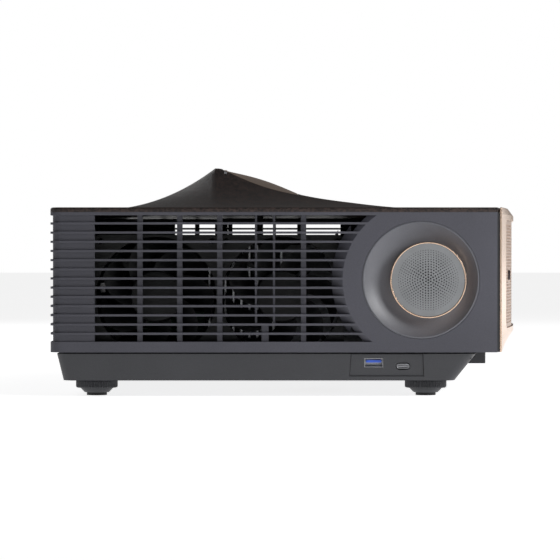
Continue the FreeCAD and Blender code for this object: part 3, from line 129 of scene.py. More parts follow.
@dataclass(frozen=True)
class Finish:
    """A surface as a maker orders it, turned into a procedural material.

    The colour drifts between two hex values in patches, with the grain of the surface on top.
    The grain also sets the bump and the swing of the roughness, and every edge is eased a little.
    """

    title: str
    dark: str
    light: str
    patch_mm: float = 40.0
    grain_mm: float = 1.0
    relief_mm: float = 0.03
    smooth: float = 0.4
    rough: float = 0.5
    edge_mm: float = 0.35

    def grain(self, tree: bpy.types.NodeTree, place: bpy.types.NodeSocket) -> bpy.types.NodeSocket:
        """Fine texture of the surface, from 0 to 1."""
        noise = add_node(tree, "ShaderNodeTexNoise", Vector=place, Scale=per_metre(self.grain_mm), Detail=2.0)
        return noise.outputs["Fac"]

    def settle(self, shader: bpy.types.Node) -> None:
        """Set what is the same all over the surface on the shader's own sockets."""
        shader.inputs["IOR"].default_value = 1.5

    def build(self) -> bpy.types.Material:
        """Make the material.

        Returns:
            The material, with its nodes linked.
        """
        material = bpy.data.materials.new(self.title)
        material.use_nodes = True
        tree = material.node_tree
        tree.nodes.clear()
        place = add_node(tree, "ShaderNodeTexCoord").outputs["Object"]
        drift = per_metre(self.patch_mm)
        patches = add_node(tree, "ShaderNodeTexNoise", Vector=place, Scale=drift, Detail=3.0)
        grain = self.grain(tree, place)
        mix = add_node(tree, "ShaderNodeMath", {"operation": "MULTIPLY_ADD"})
        half = add_node(tree, "ShaderNodeMath", {"operation": "MULTIPLY"})
        for node, source in ((mix, grain), (half, patches.outputs["Fac"])):
            tree.links.new(source, node.inputs[0])
            node.inputs[1].default_value = EVEN
        tree.links.new(half.outputs[0], mix.inputs[2])
        ramp = add_node(tree, "ShaderNodeValToRGB", Fac=mix.outputs[0])
        for element, end, code in zip(ramp.color_ramp.elements, NOISE_ENDS, (self.dark, self.light)):
            element.position, element.color = end, linear(code)
        swing = add_node(tree, "ShaderNodeMapRange", Value=grain, To_Min=self.smooth, To_Max=self.rough)
        eased = add_node(tree, "ShaderNodeBevel", {"samples": 4}, Radius=self.edge_mm * MM).outputs["Normal"]
        bump = add_node(tree, "ShaderNodeBump", Height=grain, Distance=self.relief_mm * MM, Normal=eased)
        shader = add_node(
            tree, "ShaderNodeBsdfPrincipled", Base_Color=ramp.outputs["Color"],
            Roughness=swing.outputs["Result"], Normal=bump.outputs["Normal"],
        )
        self.settle(shader)
        output = add_node(tree, "ShaderNodeOutputMaterial")
        tree.links.new(shader.outputs["BSDF"], output.inputs["Surface"])
        return material


@dataclass(frozen=True)
class MouldedAbs(Finish):
    """ABS with a spark-eroded mould texture: matt, with a soft broad highlight and a fine even grain.

    The real grain is 0.1 mm across. It is drawn at 0.6 mm and more, so that it shows.
    """

    def settle(self, shader: bpy.types.Node) -> None:
        """ABS bends light a little more than glass does."""
        shader.inputs["IOR"].default_value = 1.53
        shader.inputs["Specular IOR Level"].default_value = 0.5


@dataclass(frozen=True)
class FleckedLacquer(Finish):
    """Dark lacquer with bronze flecks under a satin clear coat: deep, warm and mottled."""

    coat: float = 0.12

    def grain(self, tree: bpy.types.NodeTree, place: bpy.types.NodeSocket) -> bpy.types.NodeSocket:
        """Irregular flecks, each a cell of its own brightness."""
        cells = add_node(tree, "ShaderNodeTexVoronoi", Vector=place, Scale=per_metre(self.grain_mm))
        value = add_node(tree, "ShaderNodeSeparateColor", Color=cells.outputs["Color"])
        return value.outputs["Red"]

    def settle(self, shader: bpy.types.Node) -> None:
        """The clear coat lies over the flecks."""
        shader.inputs["IOR"].default_value = 1.5
        shader.inputs["Coat Weight"].default_value = self.coat
        shader.inputs["Coat Roughness"].default_value = 0.3


@dataclass(frozen=True)
class Metal(Finish):
    """Bare or anodised metal, whose highlights are drawn out by the lines that rolling or brushing left.

    The lines run along stretch: a small number there makes them long. Real lines are 0.05 mm wide,
    drawn several times wider so that they show.
    """

    stretch: Point = (1.0, 1.0, 1.0)

    def grain(self, tree: bpy.types.NodeTree, place: bpy.types.NodeSocket) -> bpy.types.NodeSocket:
        """Noise pulled out into lines."""
        drawn = add_node(tree, "ShaderNodeMapping", Vector=place, Scale=self.stretch)
        return super().grain(tree, drawn.outputs["Vector"])

    def settle(self, shader: bpy.types.Node) -> None:
        """All metal, with the default IOR."""
        shader.inputs["Metallic"].default_value = 1.0


@dataclass(frozen=True)
class SolderMask(Finish):
    """Circuit board lacquer over copper tracks: glossy green with a faint ladder of raised lines."""

    def grain(self, tree: bpy.types.NodeTree, place: bpy.types.NodeSocket) -> bpy.types.NodeSocket:
        """Square cells stand for the tracks."""
        across = {"distance": "MANHATTAN"}
        cells = add_node(tree, "ShaderNodeTexVoronoi", across, Vector=place, Scale=per_metre(self.grain_mm))
        return cells.outputs["Distance"]


@dataclass(frozen=True)
class Elastomer(Finish):
    """Moulded silicone rubber: dull, with a faint bloom and no sharp highlight."""

    def settle(self, shader: bpy.types.Node) -> None:
        """Rubber has a low sheen and a low index."""
        shader.inputs["IOR"].default_value = 1.41
        shader.inputs["Sheen Weight"].default_value = 0.15
        shader.inputs["Sheen Roughness"].default_value = 0.6


@dataclass(frozen=True)
class CoatedGlass(Finish):
    """Lens glass with an anti-reflection coating, which leaves a weak violet reflection over a dark depth."""

    film_nm: float = 130.0

    def settle(self, shader: bpy.types.Node) -> None:
        """Clear glass under a thin film."""
        shader.inputs["IOR"].default_value = 1.6
        shader.inputs["Transmission Weight"].default_value = 0.85
        shader.inputs["Thin Film Thickness"].default_value = self.film_nm
        shader.inputs["Thin Film IOR"].default_value = 1.38


@dataclass(frozen=True)
class SmokedAcrylic(Finish):
    """Infrared-pass acrylic: polished, almost black, with a red cast where light grazes it."""

    def settle(self, shader: bpy.types.Node) -> None:
        """A polished face."""
        shader.inputs["IOR"].default_value = 1.49
        shader.inputs["Coat Weight"].default_value = 1.0
        shader.inputs["Coat Roughness"].default_value = 0.03


@dataclass(frozen=True)
class StudioPaper(Finish):
    """White backdrop paper, lit through from below, so that it stays pale to the horizon."""

    glow: float = 0.8

    def settle(self, shader: bpy.types.Node) -> None:
        """The glow is the same all over."""
        shader.inputs["Emission Color"].default_value = linear("#ffffff")
        shader.inputs["Emission Strength"].default_value = self.glow


SHELL_ABS = MouldedAbs("shell_abs", "#3f3f47", "#4b4b54", 70, 0.7, 0.03, 0.44, 0.56)
PAN_ABS = MouldedAbs("pan_abs", "#26272b", "#313237", 60, 0.8, 0.03, 0.42, 0.55)
DISH_ABS = MouldedAbs("dish_abs", "#55565c", "#626369", 40, 0.6, 0.02, 0.34, 0.46)
BLACK_ABS = MouldedAbs("black_abs", "#141416", "#202023", 30, 0.7, 0.03, 0.4, 0.55)
CHIN_ABS = MouldedAbs("chin_abs", "#1b1b20", "#2a2a31", 30, 0.7, 0.03, 0.28, 0.4)
FOOT_NYLON = MouldedAbs("foot_nylon", "#26272b", "#34353a", 20, 0.7, 0.03, 0.42, 0.58, 0.25)
FAN_PBT = MouldedAbs("fan_pbt", "#0e0f10", "#18191b", 30, 0.8, 0.02, 0.45, 0.6)
BLUE_PBT = MouldedAbs("blue_pbt", "#2f55c4", "#4169dc", 10, 0.6, 0.01, 0.3, 0.4, 0.1)
COVER_LACQUER = FleckedLacquer("cover_lacquer", "#16100f", "#3a2d29", 9, 1.1, 0.01, 0.42, 0.58, 0.3)
ROSE_GOLD = Metal(
    "rose_gold_anodised", "#e2c3aa", "#efd3bc", 60, 0.8, 0.0012, 0.2, 0.28, 0.3, (0.06, 1.0, 1.0),
)
MESH_GOLD = Metal("rose_gold_mesh", "#b39987", "#c4aa98", 40, 0.9, 0.002, 0.32, 0.42, 0.1)
LID_GOLD = Metal(
    "rose_gold_brushed", "#dcc1ad", "#ead0bc", 60, 0.7, 0.002, 0.28, 0.38, 0.3, (0.05, 1.0, 1.0),
)
GRILLE_PAINT = MouldedAbs("grey_coated_steel", "#757779", "#828486", 12, 0.5, 0.01, 0.4, 0.52, 0.08)
CAST_ALUMINIUM = Metal("cast_aluminium", "#7d7f82", "#94969a", 12, 1.4, 0.08, 0.45, 0.62, 0.4)
BARE_ALUMINIUM = Metal(
    "extruded_aluminium", "#b9bbbe", "#d2d4d7", 20, 0.9, 0.02, 0.25, 0.4, 0.2, (1.0, 0.05, 1.0),
)
BRASS = Metal("turned_brass", "#b9964f", "#d6b66e", 8, 0.6, 0.01, 0.25, 0.38, 0.15)
PLATED_STEEL = Metal("plated_steel", "#9d9ea1", "#bdbec2", 8, 0.6, 0.01, 0.22, 0.36, 0.15)
BOARD_MASK = SolderMask("solder_mask", "#0d2f1d", "#1d5a37", 14, 3.2, 0.05, 0.25, 0.4, 0.1)
PAD_RUBBER = Elastomer("silicone_rubber", "#1b1b1d", "#29292b", 12, 0.8, 0.04, 0.7, 0.85)
CONE_PAPER = MouldedAbs("pressed_paper", "#1a1a1a", "#2b2a29", 6, 0.5, 0.06, 0.75, 0.9)
LENS_GLASS = CoatedGlass("coated_glass", "#8f8fb0", "#b4b4d2", 30, 8, 0.0, 0.01, 0.03, 0.2)
EYE_ACRYLIC = SmokedAcrylic("infrared_acrylic", "#160609", "#220a0d", 10, 3, 0.0, 0.04, 0.08, 0.3)
FLOOR_PAPER = StudioPaper("studio_paper", "#ededee", "#f4f4f5", 400, 3, 0.0, 0.8, 0.95)


@dataclass
class PaintShop:
    """Builds each finish once and lays it on pieces."""

    shelf: dict[str, bpy.types.Material] = field(default_factory=dict)

    def coat(self, piece: bpy.types.Object, finish: Finish) -> bpy.types.Object:
        """Give a piece one finish all over.

        Args:
            piece: A new piece or a CAD node.
            finish: The finish to use.

        Returns:
            The same piece.
        """
        if finish.title not in self.shelf:
            self.shelf[finish.title] = finish.build()
        piece.data.materials.clear()
        piece.data.materials.append(self.shelf[finish.title])
        return piece


# -------------------------------------------------------------- mesh making


@cache
def box_mm(node: str) -> tuple[Point, Point]:
    """Lowest and highest corner of a CAD node, in millimetres."""
    low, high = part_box(node)
    return tuple(low / MM), tuple(high / MM)


def make_mesh(name: str, points: Iterable[Point], faces: Iterable[Sequence[int]]) -> bpy.types.Object:
    """Make an object from points in millimetres.

    Args:
        name: Name of the object.
        points: Corners, in the frame of the part.
        faces: Corner numbers of each face, with the outside on the left.

    Returns:
        The object, linked to the scene.
    """
    data = bpy.data.meshes.new(name)
    data.from_pydata([tuple(c * MM for c in p) for p in points], [], [tuple(f) for f in faces])
    data.validate()
    data.shade_smooth()
    data.set_sharp_from_angle(angle=math.radians(SHARP))
    piece = bpy.data.objects.new(name, data)
    bpy.context.scene.collection.objects.link(piece)
    return piece


def grid_faces(rows: int, columns: int, start: int = 0, closed: bool = False) -> list[tuple[int, ...]]:
    """Faces of a grid of points stored row by row.

    Args:
        rows: Number of rows of points.
        columns: Number of points in a row.
        start: Number of the first point.
        closed: Whether each row joins up with its own start.

    Returns:
        One quad for each cell.
    """
    faces = []
    for row in range(rows - 1):
        for column in range(columns if closed else columns - 1):
            after = (column + 1) % columns
            low, high = start + row * columns, start + (row + 1) * columns
            faces.append((low + column, low + after, high + after, high + column))
    return faces


def rim_loop(rows: int, columns: int) -> list[int]:
    """Corner numbers round the edge of a grid of points stored row by row."""
    first = list(range(columns))
    far_side = [row * columns + columns - 1 for row in range(1, rows)]
    last = [(rows - 1) * columns + column for column in range(columns - 2, -1, -1)]
    near_side = [row * columns for row in range(rows - 2, 0, -1)]
    return first + far_side + last + near_side


def slab_faces(rows: int, columns: int) -> list[tuple[int, ...]]:
    """Faces of a closed slab: a grid of points, the same grid again under it, and the edge between them."""
    count = rows * columns
    faces = grid_faces(rows, columns)
    faces += [tuple(reversed([corner + count for corner in face])) for face in grid_faces(rows, columns)]
    rim = rim_loop(rows, columns)
    faces += [(b, a, a + count, b + count) for a, b in zip(rim, rim[1:] + rim[:1])]
    return faces


def ribs(radius: float, depth: float, band: float = 0.1) -> Callable[[float, int], float]:
    """Knurl that cuts notches into the outermost part of a turned profile.

    Args:
        radius: Outside of the knurl.
        depth: Depth of a notch.
        band: How far in a corner may lie and still be cut.

    Returns:
        The radius for a corner's radius and a step, as turned() takes it.
    """

    def notched(reach: float, step: int) -> float:
        """Radius of a corner at a step."""
        return reach - depth if reach > radius - band and step % RIB_STEPS < RIB_STEPS / 2 else reach

    return notched


def turned(
    name: str, profile: Sequence[Flat], way: Way, centre: Point, steps: int = 96,
    knurl: Callable[[float, int], float] | None = None,
) -> bpy.types.Object:
    """Turn a profile round an axis, with a knurl where one is wanted.

    Args:
        name: Name of the piece.
        profile: Radius and place along the axis of each corner; a radius of zero closes an end.
        way: The axis.
        centre: Where the axis runs and where its places count from.
        steps: Number of steps in a turn.
        knurl: Gives the radius for a corner's radius and a step.

    Returns:
        The piece.
    """
    across, up, along = way.value
    points = []
    for radius, place in profile:
        for step in range(steps):
            turn = 2 * math.pi * step / steps
            reach = knurl(radius, step) if knurl else radius
            spot = list(centre)
            spot[across] += reach * math.cos(turn)
            spot[up] += reach * math.sin(turn)
            spot[along] += place
            points.append(tuple(spot))
    piece = make_mesh(name, points, grid_faces(len(profile), steps, closed=True))
    tidy(piece)
    return piece


def tidy(piece: bpy.types.Object, reach_mm: float = 0.001) -> None:
    """Weld corners that meet and turn every face outwards."""
    work = bmesh.new()
    work.from_mesh(piece.data)
    bmesh.ops.remove_doubles(work, verts=work.verts, dist=reach_mm * MM)
    bmesh.ops.dissolve_degenerate(work, edges=work.edges, dist=reach_mm * MM)
    bmesh.ops.recalc_face_normals(work, faces=work.faces)
    work.to_mesh(piece.data)
    work.free()
    piece.data.shade_smooth()
    piece.data.set_sharp_from_angle(angle=math.radians(SHARP))


@dataclass(frozen=True)
class Hole:
    """A round hole in a sheet, drawn with a number of corners."""

    centre: Flat
    radius: float
    corners: int

    def outline(self) -> list[Flat]:
        """Corners of the hole."""
        turns = (2 * math.pi * (corner + 0.5) / self.corners for corner in range(self.corners))
        return [
            (self.centre[0] + self.radius * math.cos(t), self.centre[1] + self.radius * math.sin(t))
            for t in turns
        ]


def oblong(low: Flat, high: Flat) -> list[Flat]:
    """Corners of an upright rectangle between two opposite ones."""
    return [low, (high[0], low[1]), high, (low[0], high[1])]


def perforated(
    name: str, outline: Sequence[Flat], openings: Sequence[Sequence[Flat]], holes: Sequence[Hole],
    bend: Callable[[float, float, float], Point], thickness: float,
) -> bpy.types.Object:
    """Punch a flat sheet, then bend it to its shape.

    Args:
        name: Name of the piece.
        outline: Outer edge of the flat sheet.
        openings: Edges of its large openings.
        holes: Its small round holes.
        bend: Gives the place of a point of the flat sheet at some depth under its face.
        thickness: Depth of the sheet.

    Returns:
        A closed solid with every hole cut through.
    """
    loops = [list(outline), *(list(edge) for edge in openings), *(hole.outline() for hole in holes)]
    flat: list[Flat] = []
    edges: list[tuple[int, int]] = []
    for loop in loops:
        start = len(flat)
        flat.extend(loop)
        edges.extend((start + i, start + (i + 1) % len(loop)) for i in range(len(loop)))
    spots, _, triangles, _, _, _ = delaunay_2d_cdt([Vector(p) for p in flat], edges, [], 0, 1e-5)
    grid: dict[tuple[int, int], list[Hole]] = {}
    cell, inward = 4.0, 0.98
    for hole in holes:
        grid.setdefault((int(hole.centre[0] // cell), int(hole.centre[1] // cell)), []).append(hole)

    def inside(x: float, y: float, loop: Sequence[Flat]) -> bool:
        """Whether a point lies inside a loop."""
        odd = False
        for (x0, y0), (x1, y1) in zip(loop, list(loop[1:]) + [loop[0]]):
            if (y0 > y) != (y1 > y) and x < (x1 - x0) * (y - y0) / (y1 - y0) + x0:
                odd = not odd
        return odd

    def solid(x: float, y: float) -> bool:
        """Whether a point lies in the metal."""
        if not inside(x, y, outline) or any(inside(x, y, edge) for edge in openings):
            return False
        column, row = int(x // cell), int(y // cell)
        near = (h for i in (-1, 0, 1) for j in (-1, 0, 1) for h in grid.get((column + i, row + j), ()))
        flats = ((h, h.radius * math.cos(math.pi / h.corners) * inward) for h in near)
        return all(math.dist((x, y), h.centre) > flat for h, flat in flats)

    kept = []
    for corners in triangles:
        x = sum(spots[c][0] for c in corners) / 3
        y = sum(spots[c][1] for c in corners) / 3
        if solid(x, y):
            kept.append(tuple(corners))
    count = len(spots)
    points = [bend(p[0], p[1], 0.0) for p in spots] + [bend(p[0], p[1], thickness) for p in spots]
    sides: dict[tuple[int, int], int] = {}
    for a, b, c in kept:
        for edge in ((a, b), (b, c), (c, a)):
            sides[edge] = sides.get(edge, 0) + 1
    faces: list[tuple[int, ...]] = list(kept)
    faces += [(a + count, c + count, b + count) for a, b, c in kept]
    faces += [(b, a, a + count, b + count) for a, b in sides if (b, a) not in sides]
    return make_mesh(name, points, faces)


def circle(centre: Flat, radius: float, corners: int) -> list[Flat]:
    """Corners of a large round edge."""
    return Hole(centre, radius, corners).outline()


# ------------------------------------------------------------- sub-assemblies


@dataclass
class SubAssembly:
    """A group of pieces that is built and dressed together."""

    shop: PaintShop
    nodes: dict[str, bpy.types.Object]

    def dress(self, finish: Finish, *names: str) -> list[bpy.types.Object]:
        """Lay a finish on CAD nodes that keep their own shape."""
        return [self.shop.coat(self.nodes[name], finish) for name in names]

    def fit(
        self, piece: bpy.types.Object, finish: Finish, body: str, slot: str, *replaced: str,
    ) -> bpy.types.Object:
        """Finish a new piece and put it in the place of CAD nodes.

        Args:
            piece: The new piece.
            finish: Its finish.
            body: CAD body that it rides on.
            slot: Material slot of the record; not used.
            *replaced: CAD nodes that it stands for.

        Returns:
            The same piece.
        """
        self.shop.coat(piece, finish)
        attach(piece, body)
        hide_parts(*replaced)
        return piece

    def build(self) -> list[bpy.types.Object]:
        """Make the pieces and dress them."""
        raise NotImplementedError


@dataclass
class RampShape:
    """Surface of the wave on the cover, and of the lid that lies in its front slope.

    Heights are over the floor. The lid is crowned across, and its edges sag below a straight line,
    so that the dark cheeks rise and fall in one curve with it.
    """

    ridge_y: float
    ridge_flat: float
    ridge_top: float
    foot_y: float
    foot_top: float
    cover_top: float
    hinge_y: float
    hinge_half: float
    front_y: float
    front_half: float
    crown: float = 3.3
    sag: float = 3.4
    rear_run: float = 100.0
    rear_power: float = 2.3
    apron_run: float = 112.0
    apron_power: float = 1.86
    cheek_end: float = 172.0
    cheek_power: float = 2.3
    rear_flare: float = 0.12
    front_flare: float = 0.2
    belly_span: float = 0.9
    belly_fade: float = 40.0

    def half(self, y: float) -> float:
        """Half the width of the lid, and of the slopes before and behind it."""
        slope = (self.front_half - self.hinge_half) / (self.hinge_y - self.front_y)
        if y > self.hinge_y:
            return self.hinge_half + self.rear_flare * (y - self.hinge_y)
        if y < self.front_y:
            return self.front_half + self.front_flare * (self.front_y - y)
        return self.hinge_half + slope * (self.hinge_y - y)

    def spine(self, y: float) -> float:
        """Height of the wave without crown or sag."""
        front = self.ridge_y - self.ridge_flat
        if y > self.ridge_y:
            left = max(0.0, 1 - (y - self.ridge_y) / self.rear_run)
            return self.cover_top + (self.ridge_top - self.cover_top) * left**self.rear_power
        if y > front:
            return self.ridge_top
        if y > self.foot_y:
            return self.ridge_top - (front - y) * (self.ridge_top - self.foot_top) / (front - self.foot_y)
        left = max(0.0, 1 - (self.foot_y - y) / self.apron_run)
        return self.cover_top + (self.foot_top - self.cover_top) * left**self.apron_power

    def belly(self, y: float) -> float:
        """How much of the crown and sag there is at some Y, from 0 to 1."""
        front = self.ridge_y - self.ridge_flat
        if y >= front:
            return 0.0
        if y > self.foot_y:
            return math.sin(math.pi * (self.belly_span * (front - y) / (front - self.foot_y)))
        return math.sin(math.pi * self.belly_span) * max(0.0, 1 - (self.foot_y - y) / self.belly_fade)

    def height(self, x: float, y: float) -> float:
        """Height of the surface."""
        spine, belly, half = self.spine(y), self.belly(y), self.half(y)
        edge = spine - self.sag * belly
        side = abs(x)
        if side <= half:
            centre = spine + self.crown * belly
            return edge + (centre - edge) * (1 - (side / half) ** 2)
        left = max(0.0, 1 - (side - half) / (self.cheek_end - half))
        return self.cover_top + max(0.0, edge - self.cover_top) * left**self.cheek_power


@dataclass
class TopCover(SubAssembly):
    """Dark cover with its wave, the tray under the lid, and the gold lid itself."""

    corner: float = 8.0
    wall: float = 3.5
    edge_round: float = 1.5
    lid_gap: float = 0.4
    lid_thickness: float = 2.4
    ledge: float = 4.5
    knuckle: float = 2.2
    ridge_back: float = 117.2
    ridge_flat: float = 4.8
    ramp_drop: float = 20.7
    ramp_run: float = 61.9
    front_bow: float = 18.3
    front_inset: float = 1.4
    spacing: float = 2.6
    skirt: float = 112.0
    half_columns: int = 38
    front_zone: float = 46.0
    straight_front: float = -110.0
    straight_rear: float = 160.0
    rear_zone: float = 16.75
    hinge_shelf: float = 7.0
    floor_rise: float = 1.0
    ledge_cover: float = 3.0
    hinge_half: float = 57.0
    hinge_inset: float = 1.2
    lid_ease: float = 0.7
    lid_rows: int = 30
    lid_half_columns: int = 40
    knuckle_wall: float = 0.9
    knuckle_steps: int = 32
    dial_height: float = 8.0
    dial_post: float = 2.6
    half_width: float = field(init=False)
    rear: float = field(init=False)
    panel_top: float = field(init=False)
    front_end: float = field(init=False)
    wave: RampShape = field(init=False)

    def __post_init__(self) -> None:
        """Read the main lines of the cover, the wave and the lid off the CAD."""
        _, (self.half_width, self.rear, top) = box_mm("top_cover")
        self.panel_top = box_mm("right_side_panel")[1][2]
        self.front_end = box_mm("front_bezel")[1][1]
        low, high = box_mm("lens_control_lid")
        ridge_y = self.rear - self.ridge_back
        foot_y = ridge_y - self.ridge_flat - self.ramp_run
        hinge_y = box_mm("lid_hinge_pin")[0][1] + self.hinge_inset
        self.wave = RampShape(
            ridge_y, self.ridge_flat, top, foot_y, top - self.ramp_drop, self.panel_top + self.wall,
            hinge_y, self.hinge_half, low[1], high[0],
        )

    def front_line(self, x: float) -> float:
        """Y of the front edge, which is bowed."""
        radius = (self.half_width**2 + self.front_bow**2) / (2 * self.front_bow)
        centre = self.front_end - self.front_bow + radius
        return centre - math.sqrt(radius**2 - x**2) + self.front_inset

    def rear_line(self, x: float) -> float:
        """Y of the rear edge, with its round corners."""
        past = abs(x) - (self.half_width - self.corner)
        if past <= 0:
            return self.rear
        return self.rear - self.corner + math.sqrt(max(0.0, self.corner**2 - past**2))

    def lines(
        self, start: float, end: float, rim_first: bool = False, rim_last: bool = False,
    ) -> list[float]:
        """Places of grid lines, closer together along a rim.

        Args:
            start: First place.
            end: Last place.
            rim_first: Whether the start is an outer edge.
            rim_last: Whether the end is an outer edge.

        Returns:
            The places, in order.
        """
        span = abs(end - start)
        rim = [self.edge_round * (1 - math.cos(math.radians(a))) / span for a in (0, 22.5, 45, 67.5, 90)]
        first = rim if rim_first else [0.0]
        last = [1 - r for r in reversed(rim)] if rim_last else [1.0]
        inner = last[0] - first[-1]
        count = max(1, round(inner * span / self.spacing))
        middle = [first[-1] + inner * i / count for i in range(1, count)]
        return [start + (end - start) * share for share in first + middle + last]

    def build(self) -> list[bpy.types.Object]:
        """Make the cover, the lid and the dials, and dress the pin."""
        cover = self.fit(self.shell(), COVER_LACQUER, "root", "cover_plastic", "top_cover")
        lid = self.fit(self.lid(), LID_GOLD, "lid", "gold_trim", "lens_control_lid")
        dials = [self.dial("shift_dial_x", "dial_x"), self.dial("shift_dial_z", "dial_z")]
        pins = self.dress(PLATED_STEEL, "lid_hinge_pin")
        return [cover, lid, *dials, *pins]

    def columns(self) -> list[Cell]:
        """Grid lines across the cover: its sides, the ledge that the lid rests on and the tray floor."""
        count = self.half_columns
        bound = 1 - self.ledge / self.wave.front_half
        inner = [step / count for step in range(-count, count + 1)]
        left = [("left", -place / self.skirt) for place in self.lines(-self.skirt, 0, rim_first=True)]
        middle = [("ledge", s) for s in inner if s < -bound] + [("ledge", -bound), ("floor", -bound)]
        middle += [("floor", s) for s in inner if abs(s) < bound] + [("floor", bound), ("ledge", bound)]
        middle += [("ledge", s) for s in inner if s > bound]
        right = [("right", place / self.skirt) for place in self.lines(0, self.skirt, rim_last=True)]
        return left + middle + right

    def rows(self) -> list[Cell]:
        """Grid lines from front to rear, in the same zones."""
        wave = self.wave
        tray_front = wave.front_y - self.lid_gap
        tray_back = wave.hinge_y + self.knuckle + self.lid_gap
        floor_front, floor_back = tray_front + self.ledge, wave.hinge_y - self.hinge_shelf
        rows = [("front", share) for share in self.rim_shares(self.front_zone, True)]
        rows += [("open", y) for y in self.lines(self.straight_front, tray_front)]
        rows += [("ledge", tray_front), ("ledge", floor_front)]
        rows += [("floor", y) for y in self.lines(floor_front, floor_back)]
        rows += [("ledge", floor_back), ("ledge", tray_back)]
        rows += [("open", y) for y in self.lines(tray_back, wave.ridge_y)]
        rows += [("open", y) for y in self.lines(wave.ridge_y, self.straight_rear)[1:]]
        return rows + [("rear", share) for share in self.rim_shares(self.rear_zone, False)]

    def tray_height(self, x: float, y: float, surface: float) -> float:
        """Height of the ledge under the lid."""
        shelf = self.wave.height(x, min(y, self.wave.hinge_y - self.hinge_shelf))
        return min(shelf - self.lid_thickness - self.lid_gap, surface - self.ledge_cover)

    def shell(self) -> bpy.types.Object:
        """One closed skin: the wave above, the same less the wall below."""
        rows, columns = self.rows(), self.columns()
        top, under = [], []
        for row_kind, row in rows:
            for column_kind, column in columns:
                x, y = self.place(row_kind, row, column_kind, column)
                surface = self.wave.height(x, y)
                z, below = surface - self.rim_drop(x, y), surface
                if row_kind in ("ledge", "floor") and column_kind in ("ledge", "floor"):
                    on_floor = row_kind == column_kind == "floor"
                    z = self.wave.cover_top + self.floor_rise if on_floor else self.tray_height(x, y, surface)
                    below = z
                top.append((x, y, z))
                under.append((x, y, max(self.panel_top, below - self.wall)))
        piece = make_mesh("cover_shell", top + under, slab_faces(len(rows), len(columns)))
        tidy(piece)
        return piece

    def rim_shares(self, run: float, at_start: bool) -> list[float]:
        """Shares of a zone that ends at an outer edge."""
        shares = [place / run for place in self.lines(0, run, rim_first=at_start, rim_last=not at_start)]
        return shares[:-1] if at_start else shares[1:]

    def place(self, row_kind: str, row: float, column_kind: str, column: float) -> Flat:
        """Plan position of a grid point."""
        front, rear = self.straight_front, self.straight_rear
        middle = front if row_kind == "front" else rear if row_kind == "rear" else row
        half = self.wave.half(middle) + self.lid_gap
        x = column * half
        if column_kind in ("left", "right"):
            sign = -1 if column_kind == "left" else 1
            x = sign * (half + (self.half_width - half) * column)
        if row_kind == "front":
            edge = self.front_line(x)
            return x, edge + (front - edge) * row
        if row_kind == "rear":
            edge = self.rear_line(x)
            return x, rear + (edge - rear) * row
        return x, row

    def rim_drop(self, x: float, y: float) -> float:
        """How far the round edge has fallen at a point."""
        depth = min(self.half_width - abs(x), y - self.front_line(x), self.rear_line(x) - y)
        past = max(0.0, self.edge_round - depth)
        return self.edge_round - math.sqrt(max(0.0, self.edge_round**2 - past**2))

    def lid(self) -> bpy.types.Object:
        """Crowned gold panel with its knuckle."""
        wave, ease, count = self.wave, self.lid_ease, self.lid_half_columns
        rows = [wave.front_y + ease * (1 - math.cos(math.radians(a))) for a in (0, 30, 60, 90)]
        start, steps = rows[-1], self.lid_rows
        rows += [start + (wave.hinge_y - start) * step / steps for step in range(1, steps + 1)]
        shares = [step / count for step in range(1 - count, count)]
        top, under = [], []
        for y in rows:
            half = wave.half(y)
            easing = [ease * (1 - math.cos(math.radians(a))) / half for a in (0, 30, 60)]
            line = [-1 + e for e in easing] + shares + [1 - e for e in reversed(easing)]
            for share in line:
                depth = min(half * (1 - abs(share)), y - wave.front_y)
                past = max(0.0, ease - depth)
                drop = ease - math.sqrt(max(0.0, ease**2 - past**2))
                surface = wave.height(share * half, y)
                top.append((share * half, y, surface - drop))
                under.append((share * half, y, surface - self.lid_thickness))
        faces = slab_faces(len(rows), len(line))
        points = top + under
        faces += grid_faces(4, self.knuckle_steps, len(points), closed=True)
        pin_low, pin_high = box_mm("lid_hinge_pin")
        axis_z = (pin_low[2] + pin_high[2]) / 2
        bore = self.knuckle - self.knuckle_wall
        for end, radius in ((-1, bore), (-1, self.knuckle), (1, self.knuckle), (1, bore)):
            for step in range(self.knuckle_steps):
                turn = 2 * math.pi * step / self.knuckle_steps
                y, z = wave.hinge_y + radius * math.cos(turn), axis_z + radius * math.sin(turn)
                points.append((end * wave.hinge_half, y, z))
        piece = make_mesh("lid_panel", points, faces)
        tidy(piece)
        return piece

    def dial(self, node: str, body: str) -> bpy.types.Object:
        """Knurled thumb dial on its post, with a dished top."""
        low, high = box_mm(node)
        centre = ((low[0] + high[0]) / 2, (low[1] + high[1]) / 2, 0.0)
        radius = (high[0] - low[0]) / 2
        rim = high[2] - self.dial_height
        chamfer, dish_edge, dish_foot, notch = 0.8, 2.4, 3.2, 0.5
        profile = (
            (0, low[2]), (self.dial_post, low[2]), (self.dial_post, rim), (radius - chamfer, rim),
            (radius, rim + chamfer), (radius, high[2] - chamfer), (radius - chamfer, high[2]),
            (radius - dish_edge, high[2]), (radius - dish_foot, high[2] - chamfer), (0, high[2] - chamfer),
        )
        grip = ribs(radius, notch, notch)
        piece = turned(f"{node}_knob", profile, Way.ALONG_Z, centre, 144, grip)
        return self.fit(piece, BLACK_ABS, body, "black_plastic", node)


@dataclass
class SidePanels(SubAssembly):
    """Vented side shells, rear panel and the pan under them."""

    def build(self) -> list[bpy.types.Object]:
        """Dress the shells."""
        shells = self.dress(SHELL_ABS, "right_side_panel", "left_side_panel", "rear_panel")
        pan = self.dress(PAN_ABS, "bottom_pan", "right_port_plate")
        steel = self.dress(PLATED_STEEL, "case_screws")
        brass = self.dress(BRASS, "foot_inserts")
        return shells + pan + steel + brass


